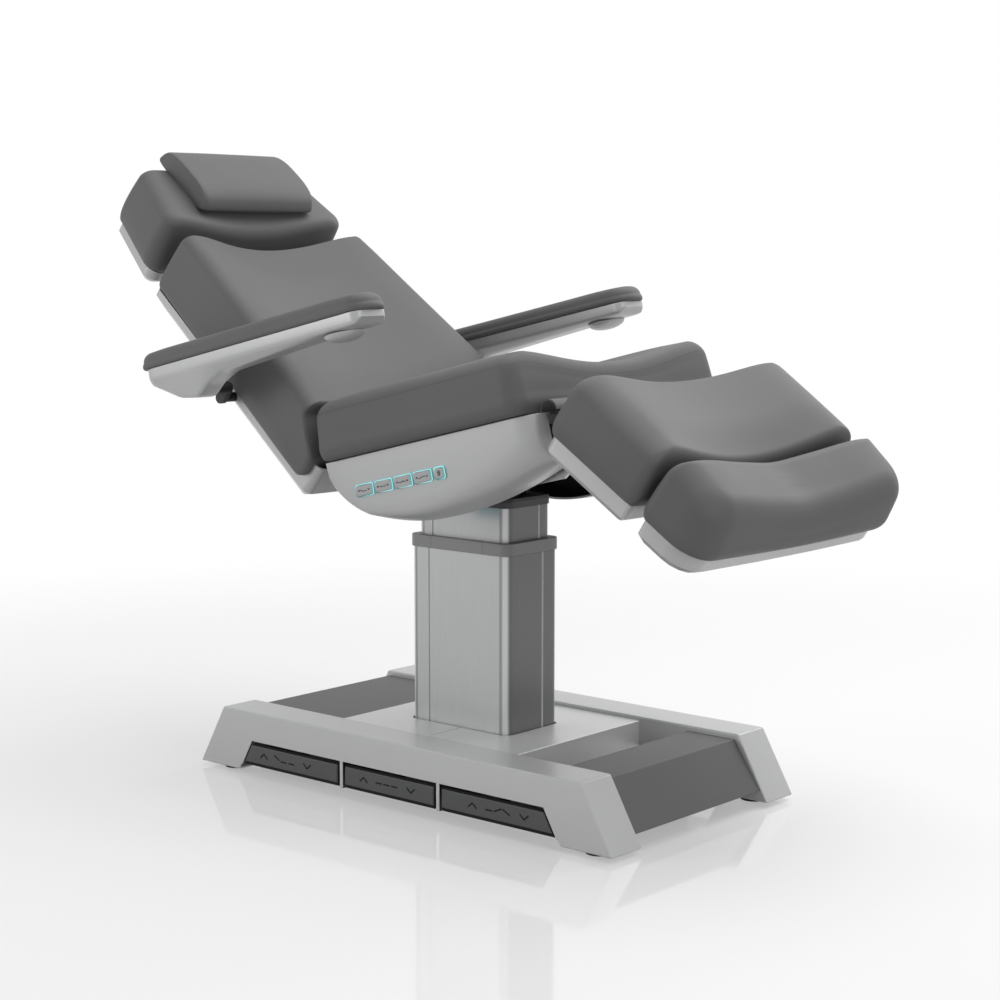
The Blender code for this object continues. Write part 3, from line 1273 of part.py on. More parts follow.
def actuators(dark, steel, axis):
    rod_y_place = BAR_Y - HINGE_LUG_T - EYE_T / 2
    tip = lever_tip(BACK_HINGE, LEVER_R, BACK_LEVER_TURN)
    actuator("back_actuator", rod_y_place, tip[1] + BACK_ROD_LIFT, BACK_TUBE, tip[0], dark, steel, axis)
    tip = lever_tip(LEG_HINGE, LEG_LEVER_R, LEG_LEVER_TURN)
    actuator("leg_actuator", -rod_y_place, tip[1] + LEG_ROD_LIFT, LEG_TUBE, tip[0], dark, steel, axis)
    tilt = math.radians(SEAT_TILT)
    tip = (-TILT_LEVER_R * math.sin(tilt), -TILT_LEVER_R * math.cos(tilt))
    actuator("tilt_actuator", 0.0, tip[1], TILT_TUBE, tip[0], dark, steel, axis)


def build():
    clear_scene()
    silver = material("silver_paint", (0.52, 0.52, 0.53), 0.38, 0.15)
    dark = material("dark_grey", (0.115, 0.115, 0.12), 0.5)
    leather = material("grey_leather", (0.155, 0.155, 0.158), 0.5)
    aluminium = material("satin_aluminium", (0.56, 0.57, 0.58), 0.3, 0.9)
    plastic = material("grey_plastic", (0.20, 0.20, 0.205), 0.45)
    steel = material("zinc_steel", (0.42, 0.42, 0.43), 0.4, 0.9)
    rubber = material("black_rubber", (0.02, 0.02, 0.02), 0.8)

    base_rails(silver)
    base_deck(silver)
    end_panels(dark)
    base_frame(steel)
    level_feet(rubber)
    pedals(dark)
    pedal_bar(steel)
    column(aluminium, plastic, dark, steel)

    seat_axis = axis_empty("seat_axis", (COLUMN_X, 0.0, FOOT_H + TILT_Z), None, -SEAT_TILT)
    seat_frame(steel, seat_axis)
    seat_pins(steel, seat_axis)
    side_covers(silver, seat_axis)
    buttons(plastic, seat_axis)
    cushion("seat_cushion", seat_pad(), leather, seat_axis)
    leg_flap(leather, seat_axis)
    actuators(dark, steel, seat_axis)

    back_axis = axis_empty("back_axis", (BACK_HINGE[0], 0.0, BACK_HINGE[1]), seat_axis, BACK_ANGLE)
    back_frame(steel, back_axis)
    back_shell(silver, back_axis)
    cushion("back_cushion", back_pad(), leather, back_axis)
    arms(silver, leather, dark, back_axis)

    head_axis = axis_empty("head_axis", (HEAD_HINGE[0], 0.0, HEAD_HINGE[1]), back_axis)
    head_shell(silver, head_axis)
    head = cushion("head_cushion", head_pad(), leather, head_axis)
    pillow(leather, head_axis, head)

    leg_axis = axis_empty("leg_axis", (LEG_HINGE[0], 0.0, LEG_HINGE[1]), seat_axis, LEG_ANGLE)
    calf_frame(steel, leg_axis)
    calf_shell(silver, leg_axis)
    cushion("calf_cushion", calf_pad(), leather, leg_axis)
    foot_section(silver, leather, steel, leg_axis)


build()
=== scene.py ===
# Looks of the procedure table: upholstery, painted shells, column, pedals, push buttons and the studio
import bpy
import bmesh
import json
import math
import numpy as np
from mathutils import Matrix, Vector

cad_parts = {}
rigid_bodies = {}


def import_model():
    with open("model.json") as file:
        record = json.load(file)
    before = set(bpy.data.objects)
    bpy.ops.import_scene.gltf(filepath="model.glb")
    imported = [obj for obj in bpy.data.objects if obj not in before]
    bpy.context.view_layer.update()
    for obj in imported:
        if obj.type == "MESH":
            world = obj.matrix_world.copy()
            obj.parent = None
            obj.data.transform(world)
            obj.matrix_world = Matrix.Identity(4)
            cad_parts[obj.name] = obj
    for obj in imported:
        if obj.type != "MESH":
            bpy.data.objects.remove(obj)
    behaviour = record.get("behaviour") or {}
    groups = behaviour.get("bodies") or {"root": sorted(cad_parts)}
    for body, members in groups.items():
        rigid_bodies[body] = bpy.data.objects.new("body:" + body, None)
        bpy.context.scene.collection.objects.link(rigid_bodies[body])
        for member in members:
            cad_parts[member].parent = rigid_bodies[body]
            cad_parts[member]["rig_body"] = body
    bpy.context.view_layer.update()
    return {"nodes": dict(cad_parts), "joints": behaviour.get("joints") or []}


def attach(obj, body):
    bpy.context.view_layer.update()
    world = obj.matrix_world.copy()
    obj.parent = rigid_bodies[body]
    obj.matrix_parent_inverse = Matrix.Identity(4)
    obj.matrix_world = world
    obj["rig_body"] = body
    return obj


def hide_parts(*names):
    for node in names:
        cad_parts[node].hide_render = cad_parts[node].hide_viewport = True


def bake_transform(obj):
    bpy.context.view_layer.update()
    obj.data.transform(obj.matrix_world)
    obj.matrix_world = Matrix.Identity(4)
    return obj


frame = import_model()
hinges = {j["name"]: np.array(j["pos_m"], float) for j in frame["joints"] if j.get("pos_m")}
turns = {"seat": -13.4, "back": 38.5, "head": 38.5, "leg": 33.0, "arm": -12.5}   # degrees about Y, from the CAD
print("frame loaded with", len(frame["nodes"]), "nodes")


# Shader maths

class Wire:
    # an output socket; sums, products and powers of wires add Math nodes
    def __init__(self, finish, socket):
        self.finish = finish
        self.socket = socket

    def calc(self, operation, *values):
        return self.finish.node("ShaderNodeMath", {"operation": operation}, dict(enumerate(values)))

    def __add__(self, other):
        return self.calc("ADD", self, other)

    __radd__ = __add__

    def __sub__(self, other):
        return self.calc("SUBTRACT", self, other)

    def __rsub__(self, other):
        return self.calc("SUBTRACT", other, self)

    def __mul__(self, other):
        return self.calc("MULTIPLY", self, other)

    __rmul__ = __mul__

    def __truediv__(self, other):
        return self.calc("DIVIDE", self, other)

    def __pow__(self, other):
        return self.calc("POWER", self, other)

    def __abs__(self):
        return self.calc("ABSOLUTE", self)

    def above(self, limit):
        return self.calc("GREATER_THAN", self, limit)

    def below(self, limit):
        return self.calc("LESS_THAN", self, limit)

    def ramp(self, low, high):
        # 0 at low, 1 at high, smooth between
        settings = {"interpolation_type": "SMOOTHSTEP"}
        return self.finish.node("ShaderNodeMapRange", settings, {0: self, 1: low, 2: high, 3: 0.0, 4: 1.0})


class Finish:
    # one material and its Principled shader
    def __init__(self, name):
        self.material = bpy.data.materials.new(name)
        self.material.use_nodes = True
        self.tree = self.material.node_tree
        self.shader = self.tree.nodes["Principled BSDF"]
        self.place = self.node("ShaderNodeTexCoord", {}, {}, "Object")

    def node(self, kind, settings, inputs, output=0):
        made = self.tree.nodes.new(kind)
        for key, value in settings.items():
            setattr(made, key, value)
        for key, value in inputs.items():
            self.join(value, made.inputs[key])
        return Wire(self, made.outputs[output])

    def join(self, value, socket):
        if isinstance(value, Wire):
            self.tree.links.new(value.socket, socket)
        elif isinstance(value, tuple) and len(value) == 3 and socket.type == "RGBA":
            socket.default_value = (*value, 1.0)
        else:
            socket.default_value = value

    def set(self, **values):
        # Principled inputs by name, with _ for a space
        for key, value in values.items():
            self.join(value, self.shader.inputs[key.replace("_", " ")])
        return self.material

    def colour(self):
        # what feeds the base colour so far
        return Wire(self, self.shader.inputs["Base Color"].links[0].from_socket)

    def noise(self, scale, detail=3.0, stretch=(1.0, 1.0, 1.0)):
        at = self.node("ShaderNodeMapping", {}, {"Vector": self.place, "Scale": stretch})
        return self.node("ShaderNodeTexNoise", {}, {"Vector": at, "Scale": scale, "Detail": detail}, "Fac")

    def mark(self):
        # the number that a mesh of its own carries at each point
        return self.node("ShaderNodeAttribute", {"attribute_name": "seam"}, {}, "Fac")

    def axes(self):
        return [self.node("ShaderNodeSeparateXYZ", {}, {0: self.place}, i) for i in range(3)]

    def mix(self, share, first, second):
        return self.node("ShaderNodeMix", {"data_type": "RGBA"}, {0: share, 6: first, 7: second}, 2)

    def bump(self, height, strength, distance):
        return self.node("ShaderNodeBump", {}, {"Strength": strength, "Distance": distance, "Height": height})


def grey(value):
    return (value, value, value)


def shades(tone, spread):
    # a darker and a lighter version of one tone
    return tuple(c * (1 - spread) for c in tone), tuple(c * (1 + spread) for c in tone)


# Paint

# one silver paint in three tones: the rails and, lighter still, the deck are painted lighter as painted light, where
# the seat above keeps light off the base
tones = {"shells": (0.43, 0.432, 0.434), "rails": (0.56, 0.563, 0.565), "deck": (0.70, 0.703, 0.705)}
# the black inside the pedal bays is painted shade
bayShade = {"y": (-0.2985, -0.214), "top": 0.0775, "halfLength": 0.44, "tone": grey(0.004)}
deck = {"jointX": 0.0030, "jointHalf": 0.0009, "jointY": (-0.176, -0.086), "tone": grey(0.05)}


def silverFinish(name, tone):
    # satin paint with metal flake, a faint orange peel and handling marks
    f = Finish(name)
    flake = f.noise(1900.0, 1.0).ramp(0.35, 0.75)
    f.set(Base_Color=f.mix(flake, *shades(tone, 0.06)), Roughness=0.36 + 0.10 * f.noise(5.0), Metallic=0.20,
          Coat_Weight=0.35, Coat_Roughness=0.22, Normal=f.bump(f.noise(260.0, 2.0), 0.05, 0.0004))
    return f


def silverPaint():
    return silverFinish("silverPaint", tones["shells"]).material


def railPaint():
    # a lighter copy of the shell paint as painted light; the bays behind the pedals are painted black inside, as
    # painted shade
    f = silverFinish("railPaint", tones["rails"])
    x, y, z = f.axes()
    deep = y.above(bayShade["y"][0]) * y.below(bayShade["y"][1])
    paintedShade = deep * z.below(bayShade["top"]) * abs(x).below(bayShade["halfLength"])
    return f.set(Base_Color=f.mix(paintedShade, f.colour(), bayShade["tone"]))


def deckPaint():
    # the lightest copy of the shell paint, as painted light where the seat shades the deck; the deck sheet has a joint
    # line across it beside the column
    f = silverFinish("deckPaint", tones["deck"])
    x, y, z = f.axes()
    line = abs(x - deck["jointX"]).below(deck["jointHalf"]) * y.above(deck["jointY"][0]) * y.below(deck["jointY"][1])
    return f.set(Base_Color=f.mix(line, f.colour(), deck["tone"]))


# Plastic, rubber and castings

def moulded(name, pair, cloud, fine, rough, relief):
    # two close tones in slow clouds under an even fine grain
    f = Finish(name)
    grain = f.noise(fine, 2.0)
    f.set(Base_Color=f.mix(f.noise(cloud), *pair), Roughness=rough + 0.12 * grain,
          Normal=f.bump(grain, relief, 0.0003))
    return f


def grained(name, pair, fine, rough, spread):
    # two tones and the roughness follow one grain
    f = Finish(name)
    grain = f.noise(fine, 2.0)
    return f.set(Base_Color=f.mix(grain, *pair), Roughness=rough + spread * grain)


def casting(name, pair):
    # painted iron with a slightly pitted skin
    f = Finish(name)
    grain = f.noise(500.0, 3.0)
    f.set(Base_Color=f.mix(grain, *pair), Roughness=0.45 + 0.15 * grain, Normal=f.bump(grain, 0.15, 0.0005))
    return f


def panelPaint():
    # matt dark powder coat
    return moulded("panelPaint", ((0.096, 0.097, 0.100), (0.112, 0.113, 0.116)), 7.0, 900.0, 0.46, 0.12).material


def pedalRubber():
    return moulded("pedalRubber", ((0.060, 0.061, 0.063), (0.078, 0.079, 0.081)), 14.0, 1400.0, 0.42, 0.15).material


def footRubber():
    return grained("footRubber", (grey(0.012), grey(0.026)), 600.0, 0.7, 0.15)


def keyPlastic():
    return grained("keyPlastic", ((0.38, 0.385, 0.39), (0.44, 0.445, 0.45)), 1500.0, 0.38, 0.1)


def coverInside():
    # black for the covers' inner faces: painted shade under the seat
    return grained("coverInside", (grey(0.006), grey(0.014)), 300.0, 0.6, 0.2)


def darkCasting():
    # dark painted iron for the actuators, and painted shade on the pedal bar
    return casting("darkCasting", shades((0.040, 0.041, 0.043), 0.2)).material


def knuckleBlack():
    return casting("knuckleBlack", shades((0.010, 0.010, 0.011), 0.2)).material


def capCasting():
    # dark cap plate, black above its rim
    f = casting("capCasting", ((0.042, 0.043, 0.045), (0.060, 0.061, 0.063)))
    x, y, z = f.axes()
    return f.set(Base_Color=f.mix(z.ramp(*column["capRim"]), f.colour(), grey(0.006)))


def inkBlack():
    # black print for the signs; also the pedal plates' black round their faces, painted shade
    f = Finish("inkBlack")
    return f.set(Base_Color=f.mix(f.noise(800.0), grey(0.002), grey(0.005)), Roughness=0.7, Specular_IOR_Level=0.2)


def glowTeal():
    # lit bead; its own mark says how bright each side is
    f = Finish("glowTeal")
    tone = f.mix(f.mark(), (0.03, 0.05, 0.055), (0.24, 0.92, 0.94))
    return f.set(Base_Color=(0.05, 0.10, 0.11), Emission_Color=tone, Emission_Strength=1.0, Roughness=0.3)


# Leather

def leather(name, seamed):
    # smooth coated leatherette: fine pebble grain, slow tone drift, a drawn-in seam line
    f = Finish(name)
    cells = f.node("ShaderNodeTexVoronoi", {"feature": "SMOOTH_F1"}, {"Vector": f.place, "Scale": 620.0}, "Distance")
    cloud = f.noise(3.5)
    tone = f.mix(cloud.ramp(0.3, 0.7), *shades((0.104, 0.1045, 0.106), 0.05))
    height = cells * 0.35
    if seamed:   # the mark is the way from the seam along the skin
        groove = 1 - abs(f.mark()).ramp(0.0002, 0.0013)
        tone = f.mix(groove * 0.55, tone, (0.05, 0.05, 0.051))
        height = height - groove * 3.0
    rough = 0.52 + 0.10 * cloud + 0.05 * cells
    return f.set(Base_Color=tone, Roughness=rough, Normal=f.bump(height, 0.10, 0.0005), Specular_IOR_Level=0.35)


# Column and steel

column = {"x": -0.009, "halves": {"outerColumn": 0.134, "innerColumn": 0.124}, "corner": 0.020,
          "grooveY": 0.030, "grooveHalf": 0.0022, "tintZ": (0.562, 0.597), "tintX": (0.0, 0.05),
          "collarLine": 0.071, "collarLineHalf": 0.0008, "collarLineY": 0.08, "capRim": (0.6070, 0.6085)}


def brushedColumn(name, paintedReflection=False):
    # anodised extrusion with fine draw lines along its length; at each corner a painted shade line and a painted
    # highlight band, the narrow faces painted dark as shade with a painted highlight down their groove; the upper one
    # also has a painted teal reflection near its top
    f = Finish(name)
    x, y, z = f.axes()
    off, half = x - column["x"], column["halves"][name]
    corner = (abs(off) - (half - column["corner"])) / column["corner"]   # 0 to 1 over the rounded corner
    lines = f.noise(700.0, 2.0, (1.0, 1.0, 0.012))
    edge = corner.ramp(-0.10, 0.04) * (1 - corner.ramp(0.20, 0.34))
    band = corner.ramp(0.30, 0.44) * (1 - corner.ramp(0.70, 0.90))
    groove = abs(y - column["grooveY"] * (off / half)).below(column["grooveHalf"]) * corner.above(0.5)
    tone = f.mix(lines, (0.48, 0.485, 0.49), (0.56, 0.565, 0.57))
    # painted shade line at the start of each corner, and a painted highlight band on it
    tone = f.mix(edge * 0.6, tone, (0.16, 0.161, 0.163))
    tone = f.mix(band, tone, (0.74, 0.745, 0.75))
    # painted shade over the narrow faces, and a painted highlight down their groove
    tone = f.mix(corner.ramp(0.74, 0.92), tone, f.mix(lines, (0.15, 0.151, 0.153), (0.18, 0.181, 0.183)))
    tone = f.mix(groove * 0.8, tone, (0.80, 0.80, 0.81))
    if paintedReflection:
        # painted teal reflection near the top of the near face
        reflectionShare = z.ramp(*column["tintZ"]) * x.ramp(*column["tintX"]) * (1 - corner.ramp(-0.2, 0.3)) * y.below(0.0)
        tone = f.mix(reflectionShare * 0.75, tone, (0.16, 0.30, 0.33))
    return f.set(Base_Color=tone, Roughness=0.27 + 0.12 * lines + 0.05 * f.noise(4.0), Metallic=0.25,
                 Normal=f.bump(lines, 0.03, 0.0003))


def collarPlastic():
    # a thin line down each long face, near its ends
    f = moulded("collarPlastic", ((0.235, 0.235, 0.24), (0.27, 0.27, 0.275)), 9.0, 1100.0, 0.40, 0.12)
    x, y, z = f.axes()
    near = abs(abs(x - column["x"]) - column["collarLine"]).below(column["collarLineHalf"])
    line = near * abs(y).above(column["collarLineY"])
    return f.set(Base_Color=f.mix(line * 0.6, f.colour(), (0.10, 0.10, 0.102)))


def zincSteel():
    f = Finish("zincSteel")
    spangle = f.node("ShaderNodeTexVoronoi", {}, {"Vector": f.place, "Scale": 90.0}, "Distance")
    tone = f.mix(spangle, (0.40, 0.40, 0.41), (0.54, 0.54, 0.55))
    return f.set(Base_Color=tone, Roughness=0.30 + 0.18 * f.noise(30.0), Metallic=0.85)


# Meshes from grids

def gridFaces(rows, cols, wrap):
    # a quad between each four neighbours; wrap joins the last column to the first
    i = np.arange(rows - 1)[:, None]
    j = np.arange(cols if wrap else cols - 1)[None, :]
    a = i * cols + j
    b = i * cols + (j + 1) % cols
    return np.stack([a, b, b + cols, a + cols], -1).reshape(-1, 4)


def tubeFaces(points):
    # quads round a tube of closed rows, and one face over each end
    rows, cols = points.shape[:2]
    ends = [list(range(cols)), list(range((rows - 1) * cols, rows * cols))]
    return gridFaces(rows, cols, True).tolist() + ends


def linked(name, data):
    made = bpy.data.objects.new(name, data)
    bpy.context.scene.collection.objects.link(made)
    return made


def piece(name, points, faces, looks, body, mark=None):
    # a mesh of its own at the origin: doubles merged, faces turned out, riding on its body
    mesh = bpy.data.meshes.new(name)
    mesh.from_pydata(np.asarray(points, float).reshape(-1, 3).tolist(), [], [list(f) for f in faces])
    if mark is not None:
        layer = mesh.attributes.new("seam", "FLOAT", "POINT")
        layer.data.foreach_set("value", np.asarray(mark, np.float32).ravel())
    bm = bmesh.new()
    bm.from_mesh(mesh)
    bmesh.ops.remove_doubles(bm, verts=bm.verts[:], dist=0.00001)
    bmesh.ops.recalc_face_normals(bm, faces=bm.faces[:])
    bm.to_mesh(mesh)
    bm.free()
    mesh.shade_smooth()
    for look in looks:
        mesh.materials.append(look)
    made = linked(name, mesh)
    if body:
        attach(made, body)
    return made


def placed(points, hinge, turn):
    # local x, y, z turned about Y by turn degrees and moved to the hinge
    at = hinges[hinge]
    c, s = math.cos(math.radians(turn)), math.sin(math.radians(turn))
    x, y, z = points[..., 0], points[..., 1], points[..., 2]
    return np.stack([at[0] + x * c + z * s, at[1] + y, at[2] - x * s + z * c], -1)


def swept(x, section):
    # the y and z of a section at each x
    return np.stack([x[:, None] + 0 * section[..., 0], section[..., 0], section[..., 1]], -1)


def softStep(t):
    t = np.clip(t, 0, 1)
    return t * t * (3 - 2 * t)


def between(pair, share):
    return pair[0] + (pair[1] - pair[0]) * share


def subdivide(item):
    smooth = item.modifiers.new("smooth", "SUBSURF")
    smooth.levels = 1
    smooth.render_levels = 1


def settled(item):
    # modifiers made part of the mesh, shaded smooth between sharp edges
    shape = bpy.data.meshes.new_from_object(item.evaluated_get(bpy.context.evaluated_depsgraph_get()))
    item.modifiers.clear()
    item.data = shape
    shape.shade_smooth()
    shape.set_sharp_from_angle(angle=math.radians(35))


def roundedSections(corners, radii, steps, closed=True):
    # every corner of every section becomes a short curve between points a radius away along its two edges
    radii = np.asarray(radii, float)[None, :, None]

    def towards(other):   # never past the middle of an edge
        step = other - corners
        length = np.linalg.norm(step, axis=-1, keepdims=True)
        return corners + step * np.minimum(0.48, radii / np.maximum(length, 1e-9))

    a, b = towards(np.roll(corners, 1, axis=1)), towards(np.roll(corners, -1, axis=1))
    if not closed:
        for end in (0, -1):
            a[:, end] = b[:, end] = corners[:, end]
    t = np.linspace(0, 1, steps)[None, None, :, None]
    curve = (1 - t) ** 2 * a[:, :, None] + 2 * t * (1 - t) * corners[:, :, None] + t ** 2 * b[:, :, None]
    return curve.reshape(len(corners), -1, 2)


# Cushions: each has x ends, half widths, underside and crest heights and corner radii, from first end to last

padShape = {"tuck": 0.010, "waist": 0.42, "crestInset": 0.003, "dish": (0.034, 0.034), "dishAt": (0.55, 0.4),
            "hollow": 1.35, "bow": 0.003, "lean": (0.0, 0.0), "leanAt": ((0.0, 0.66, 1.0), (0.0, 1.0, 1.0)),
            "fall": (0.0, 0.0, 1.0), "draw": 0.050, "drawShare": 0.8, "cornerMin": 0.006, "seamTurn": 18.0,
            "planSteps": (16, 10, 34),       # points along an end, a corner and a side
            "ringSteps": (6, 12, 10, 14)}    # rings on the underside, the side, the crest and the top
armPad = {"turn": turns["arm"], "ends": (-0.1270, 0.5450), "widths": (0.047, 0.047), "low": 0.0607,
          "crests": (0.0952, 0.0952), "corners": (0.040, 0.042), "roll": (0.018, (0.018, 0.020), 0.020),
          "dish": (-0.0011, -0.0011), "tuck": 0.003, "bow": 0.0}
padForms = {
    "seatPad": {"node": "seat_cushion", "body": "seat", "hinge": "seat_tilt", "turn": turns["seat"],
                "ends": (-0.1590, 0.4004), "widths": (0.330, 0.330), "low": 0.0519, "crests": (0.1759, 0.1759),
                "corners": (0.032, 0.040), "roll": (0.056, (0.022, 0.018), 0.038), "seam": True},
    "backPad": {"node": "back_cushion", "body": "back", "hinge": "back_recline", "turn": turns["back"],
                "ends": (-0.6316, -0.0060), "widths": (0.282, 0.324), "low": 0.0048, "crests": (0.156, 0.170),
                "corners": (0.022, 0.014), "roll": (0.036, (0.014, 0.012), 0.028), "dish": (0.043, 0.040),
                "lean": (0.0, 0.054), "leanAt": ((0.0, 0.67, 0.87, 1.0), (0.0, 0.10, 0.66, 1.0)),
                "fall": (0.016, -0.195, 0.140), "ramp": (-0.120, 0.47, 0.050), "rampSides": (0.262, 0.296),
                "toe": (0.021, -0.070, 0.060), "toeAt": ((0.004, 0.026, 0.068, 0.090), (0.1, 1.0, 1.0, 0.0)),
                "bend": ("seat", "back", (0.0378, 0.0378), (0.0090, 0.0090))},
    "headPad": {"node": "head_cushion", "body": "head", "hinge": "head_tilt", "turn": turns["head"],
                "ends": (-0.2290, -0.0095), "widths": (0.241, 0.273), "low": 0.0140, "crests": (0.160, 0.156),
                "corners": (0.028, 0.040), "roll": (0.042, (0.018, 0.022), 0.028), "dish": (0.012, 0.034),
                "lean": (0.0, 0.012)},
    "calfPad": {"node": "calf_cushion", "body": "leg", "hinge": "leg_lift", "turn": turns["leg"],
                "ends": (0.0190, 0.2700), "widths": (0.338, 0.338), "low": 0.0110, "crests": (0.147, 0.135),
                "corners": (0.034, 0.026), "roll": (0.064, (0.024, 0.022), 0.040), "dish": (0.035, 0.048)},
    "footPad": {"node": "foot_cushion", "body": "foot", "hinge": "leg_lift", "turn": turns["leg"],
                "ends": (0.2735, 0.4320), "widths": (0.338, 0.338), "low": 0.0110, "crests": (0.153, 0.122),
                "corners": (0.024, 0.072), "roll": (0.062, (0.030, 0.044), 0.048), "dish": (0.032, 0.030)},
    "armPadRight": {"node": "arm_pad_right", "body": "arm_right", "hinge": "arm_right_swing", **armPad},
    "armPadLeft": {"node": "arm_pad_left", "body": "arm_left", "hinge": "arm_left_swing", **armPad},
}
pads = {name: {**padShape, **form} for name, form in padForms.items()}


def padPlan(pad, inset, ends, lean):
    # rings of a rounded trapezium: bowed end, quarter circle, straight side, quarter circle, bowed end, mirrored
    bow = pad["bow"]
    x0 = pad["ends"][0] + ends[0] + pad["lean"][0] * lean
    x1 = pad["ends"][1] - ends[1] - pad["lean"][1] * lean
    w0, w1 = (width - inset for width in pad["widths"])
    r0, r1 = (np.maximum(pad["cornerMin"], pad["corners"][i] - ends[i]) for i in (0, 1))
    onEnd, onCorner, onSide = pad["planSteps"]
    e = np.linspace(0, 1, onEnd)[None, :]
    a = np.linspace(0, math.pi / 2, onCorner)[None, 1:-1]
    s = np.linspace(0, 1, onSide)[None, :]
    b = a[:, ::-1]
    x = [x0 + bow * e ** 2, x0 + bow + r0 * (1 - np.cos(a)),
         x0 + bow + r0 + s * (x1 - x0 - 2 * bow - r0 - r1),
         x1 - bow - r1 * (1 - np.cos(b)), x1 - bow * e[:, ::-1] ** 2]
    y = [e * (w0 - r0), w0 - r0 * (1 - np.sin(a)), w0 + s * (w1 - w0), w1 - r1 * (1 - np.sin(b)),
         e[:, ::-1] * (w1 - r1)]
    rows = inset.shape[0]
    x, y = (np.concatenate([np.broadcast_to(v, (rows, v.shape[1])) for v in parts], 1) for parts in (x, y))
    return np.concatenate([x, x[:, -2:0:-1]], 1), np.concatenate([y, -y[:, -2:0:-1]], 1)


def padTop(pad, x, y):
    # raised sides and a hollow middle: crest height less dish times (1 - across squared) to a power
    share = np.clip((x - pad["ends"][0]) / (pad["ends"][1] - pad["ends"][0]), 0, 1)
    across = np.minimum(1, np.abs(y) / (between(pad["widths"], share) - pad["crestInset"] - pad["roll"][0]))
    turnAt, turnLength = pad["dishAt"]
    dish = between(pad["dish"], softStep((share - turnAt) / turnLength))
    fall, begins, length = pad["fall"]
    crest = between(pad["crests"], share) - fall * softStep((x - begins) / length)
    return crest - dish * (1 - across ** 2) ** pad["hollow"]


def padGrid(pad):
    # rings from the middle of the underside, out round the tucked edge, up the side, over the crest, into the hollow
    under, side, crest, top = (np.linspace(0, end, n) for end, n in zip((1, 1, math.pi / 2, 1), pad["ringSteps"]))
    under, crest, top = under[:-1], crest[1:], top[1:]
    rollSide, rollEnds, rollDrop = pad["roll"]
    tuck, waist, edge = pad["tuck"], pad["waist"], pad["crestInset"]
    room = (pad["ends"][1] - pad["ends"][0] - sum(pad["lean"])) / 2 - edge - max(rollEnds)
    draw = min(pad["draw"], pad["drawShare"] * room)
    sideIn = np.where(side < waist, tuck * (1 - side / waist) ** 2, edge * ((side - waist) / (1 - waist)) ** 2)
    underIn = tuck + draw * (1 - under)
    curl = 1 - np.cos(crest)
    inset = np.concatenate([underIn, sideIn, edge + rollSide * curl, edge + rollSide + 0 * top])
    ends = [np.concatenate([underIn, sideIn, edge + roll * curl, edge + roll + draw * top])[:, None]
            for roll in rollEnds]
    fold = np.concatenate([under, np.ones(len(side) + len(crest)), 1 - top])
    up = np.concatenate([0 * under, side, np.ones(len(crest) + len(top))])
    drop = rollDrop * np.concatenate([np.ones(len(under) + len(side)), 1 - np.sin(crest), 0 * top])
    inset, fold, up, drop = (v[:, None] for v in (inset, fold, up, drop))
    x, y = padPlan(pad, inset, ends, np.interp(up, *pad["leanAt"]))
    y = y * fold
    low = pad["low"] + 0 * x
    if "ramp" in pad:   # the underside climbs over the hinge, between the sides
        start, slope, rise = pad["ramp"]
        inner, outer = pad["rampSides"]
        low = low + np.clip(slope * (x - start), 0, rise) * np.clip((outer - np.abs(y)) / (outer - inner), 0, 1)
    z = low + up * (padTop(pad, x, y) - drop - low)
    if "toe" in pad:   # the lower part of the last end reaches on towards the next cushion
        reach, begins, length = pad["toe"]
        x = x + reach * softStep((x - begins) / length) * np.interp(z, *pad["toeAt"])
    points = np.stack([x, y, z], -1)
    seam = np.ones(x.shape)
    if "seam" in pad:
        step = np.linalg.norm(np.diff(points, axis=0), axis=-1)
        run = np.concatenate([np.zeros((1, points.shape[1])), np.cumsum(step, 0)])
        ring = len(under) + len(side) + np.searchsorted(np.degrees(crest), pad["seamTurn"])
        seam = run - run[ring]
    return points, seam


# Cloth under pressure

skin = {"frames": 20, "shrink": 0.0025, "cap": 0.005, "heldBand": 0.014, "heldFacing": -0.3, "spread": 0.030,
        "blocks": 20}
clothSettings = {"quality": 5, "mass": 0.3, "tension_stiffness": 15, "compression_stiffness": 15,
                 "shear_stiffness": 10, "bending_stiffness": 1.0, "vertex_group_mass": "held",
                 "use_pressure": True, "uniform_pressure_force": 4.0}


def evened(rest, out, rise):
    # a mean over the surroundings that face the same way keeps the skin taut
    even, size = np.zeros(len(rest)), (rest ** 2).sum(1)
    for some in np.array_split(np.arange(len(rest)), skin["blocks"]):
        apart = size[some][:, None] + size - 2 * rest[some] @ rest.T
        near = np.exp(-apart / (2 * skin["spread"] ** 2)) * np.maximum(0, out[some] @ out.T)
        even[some] = near @ rise / near.sum(1)
    return even


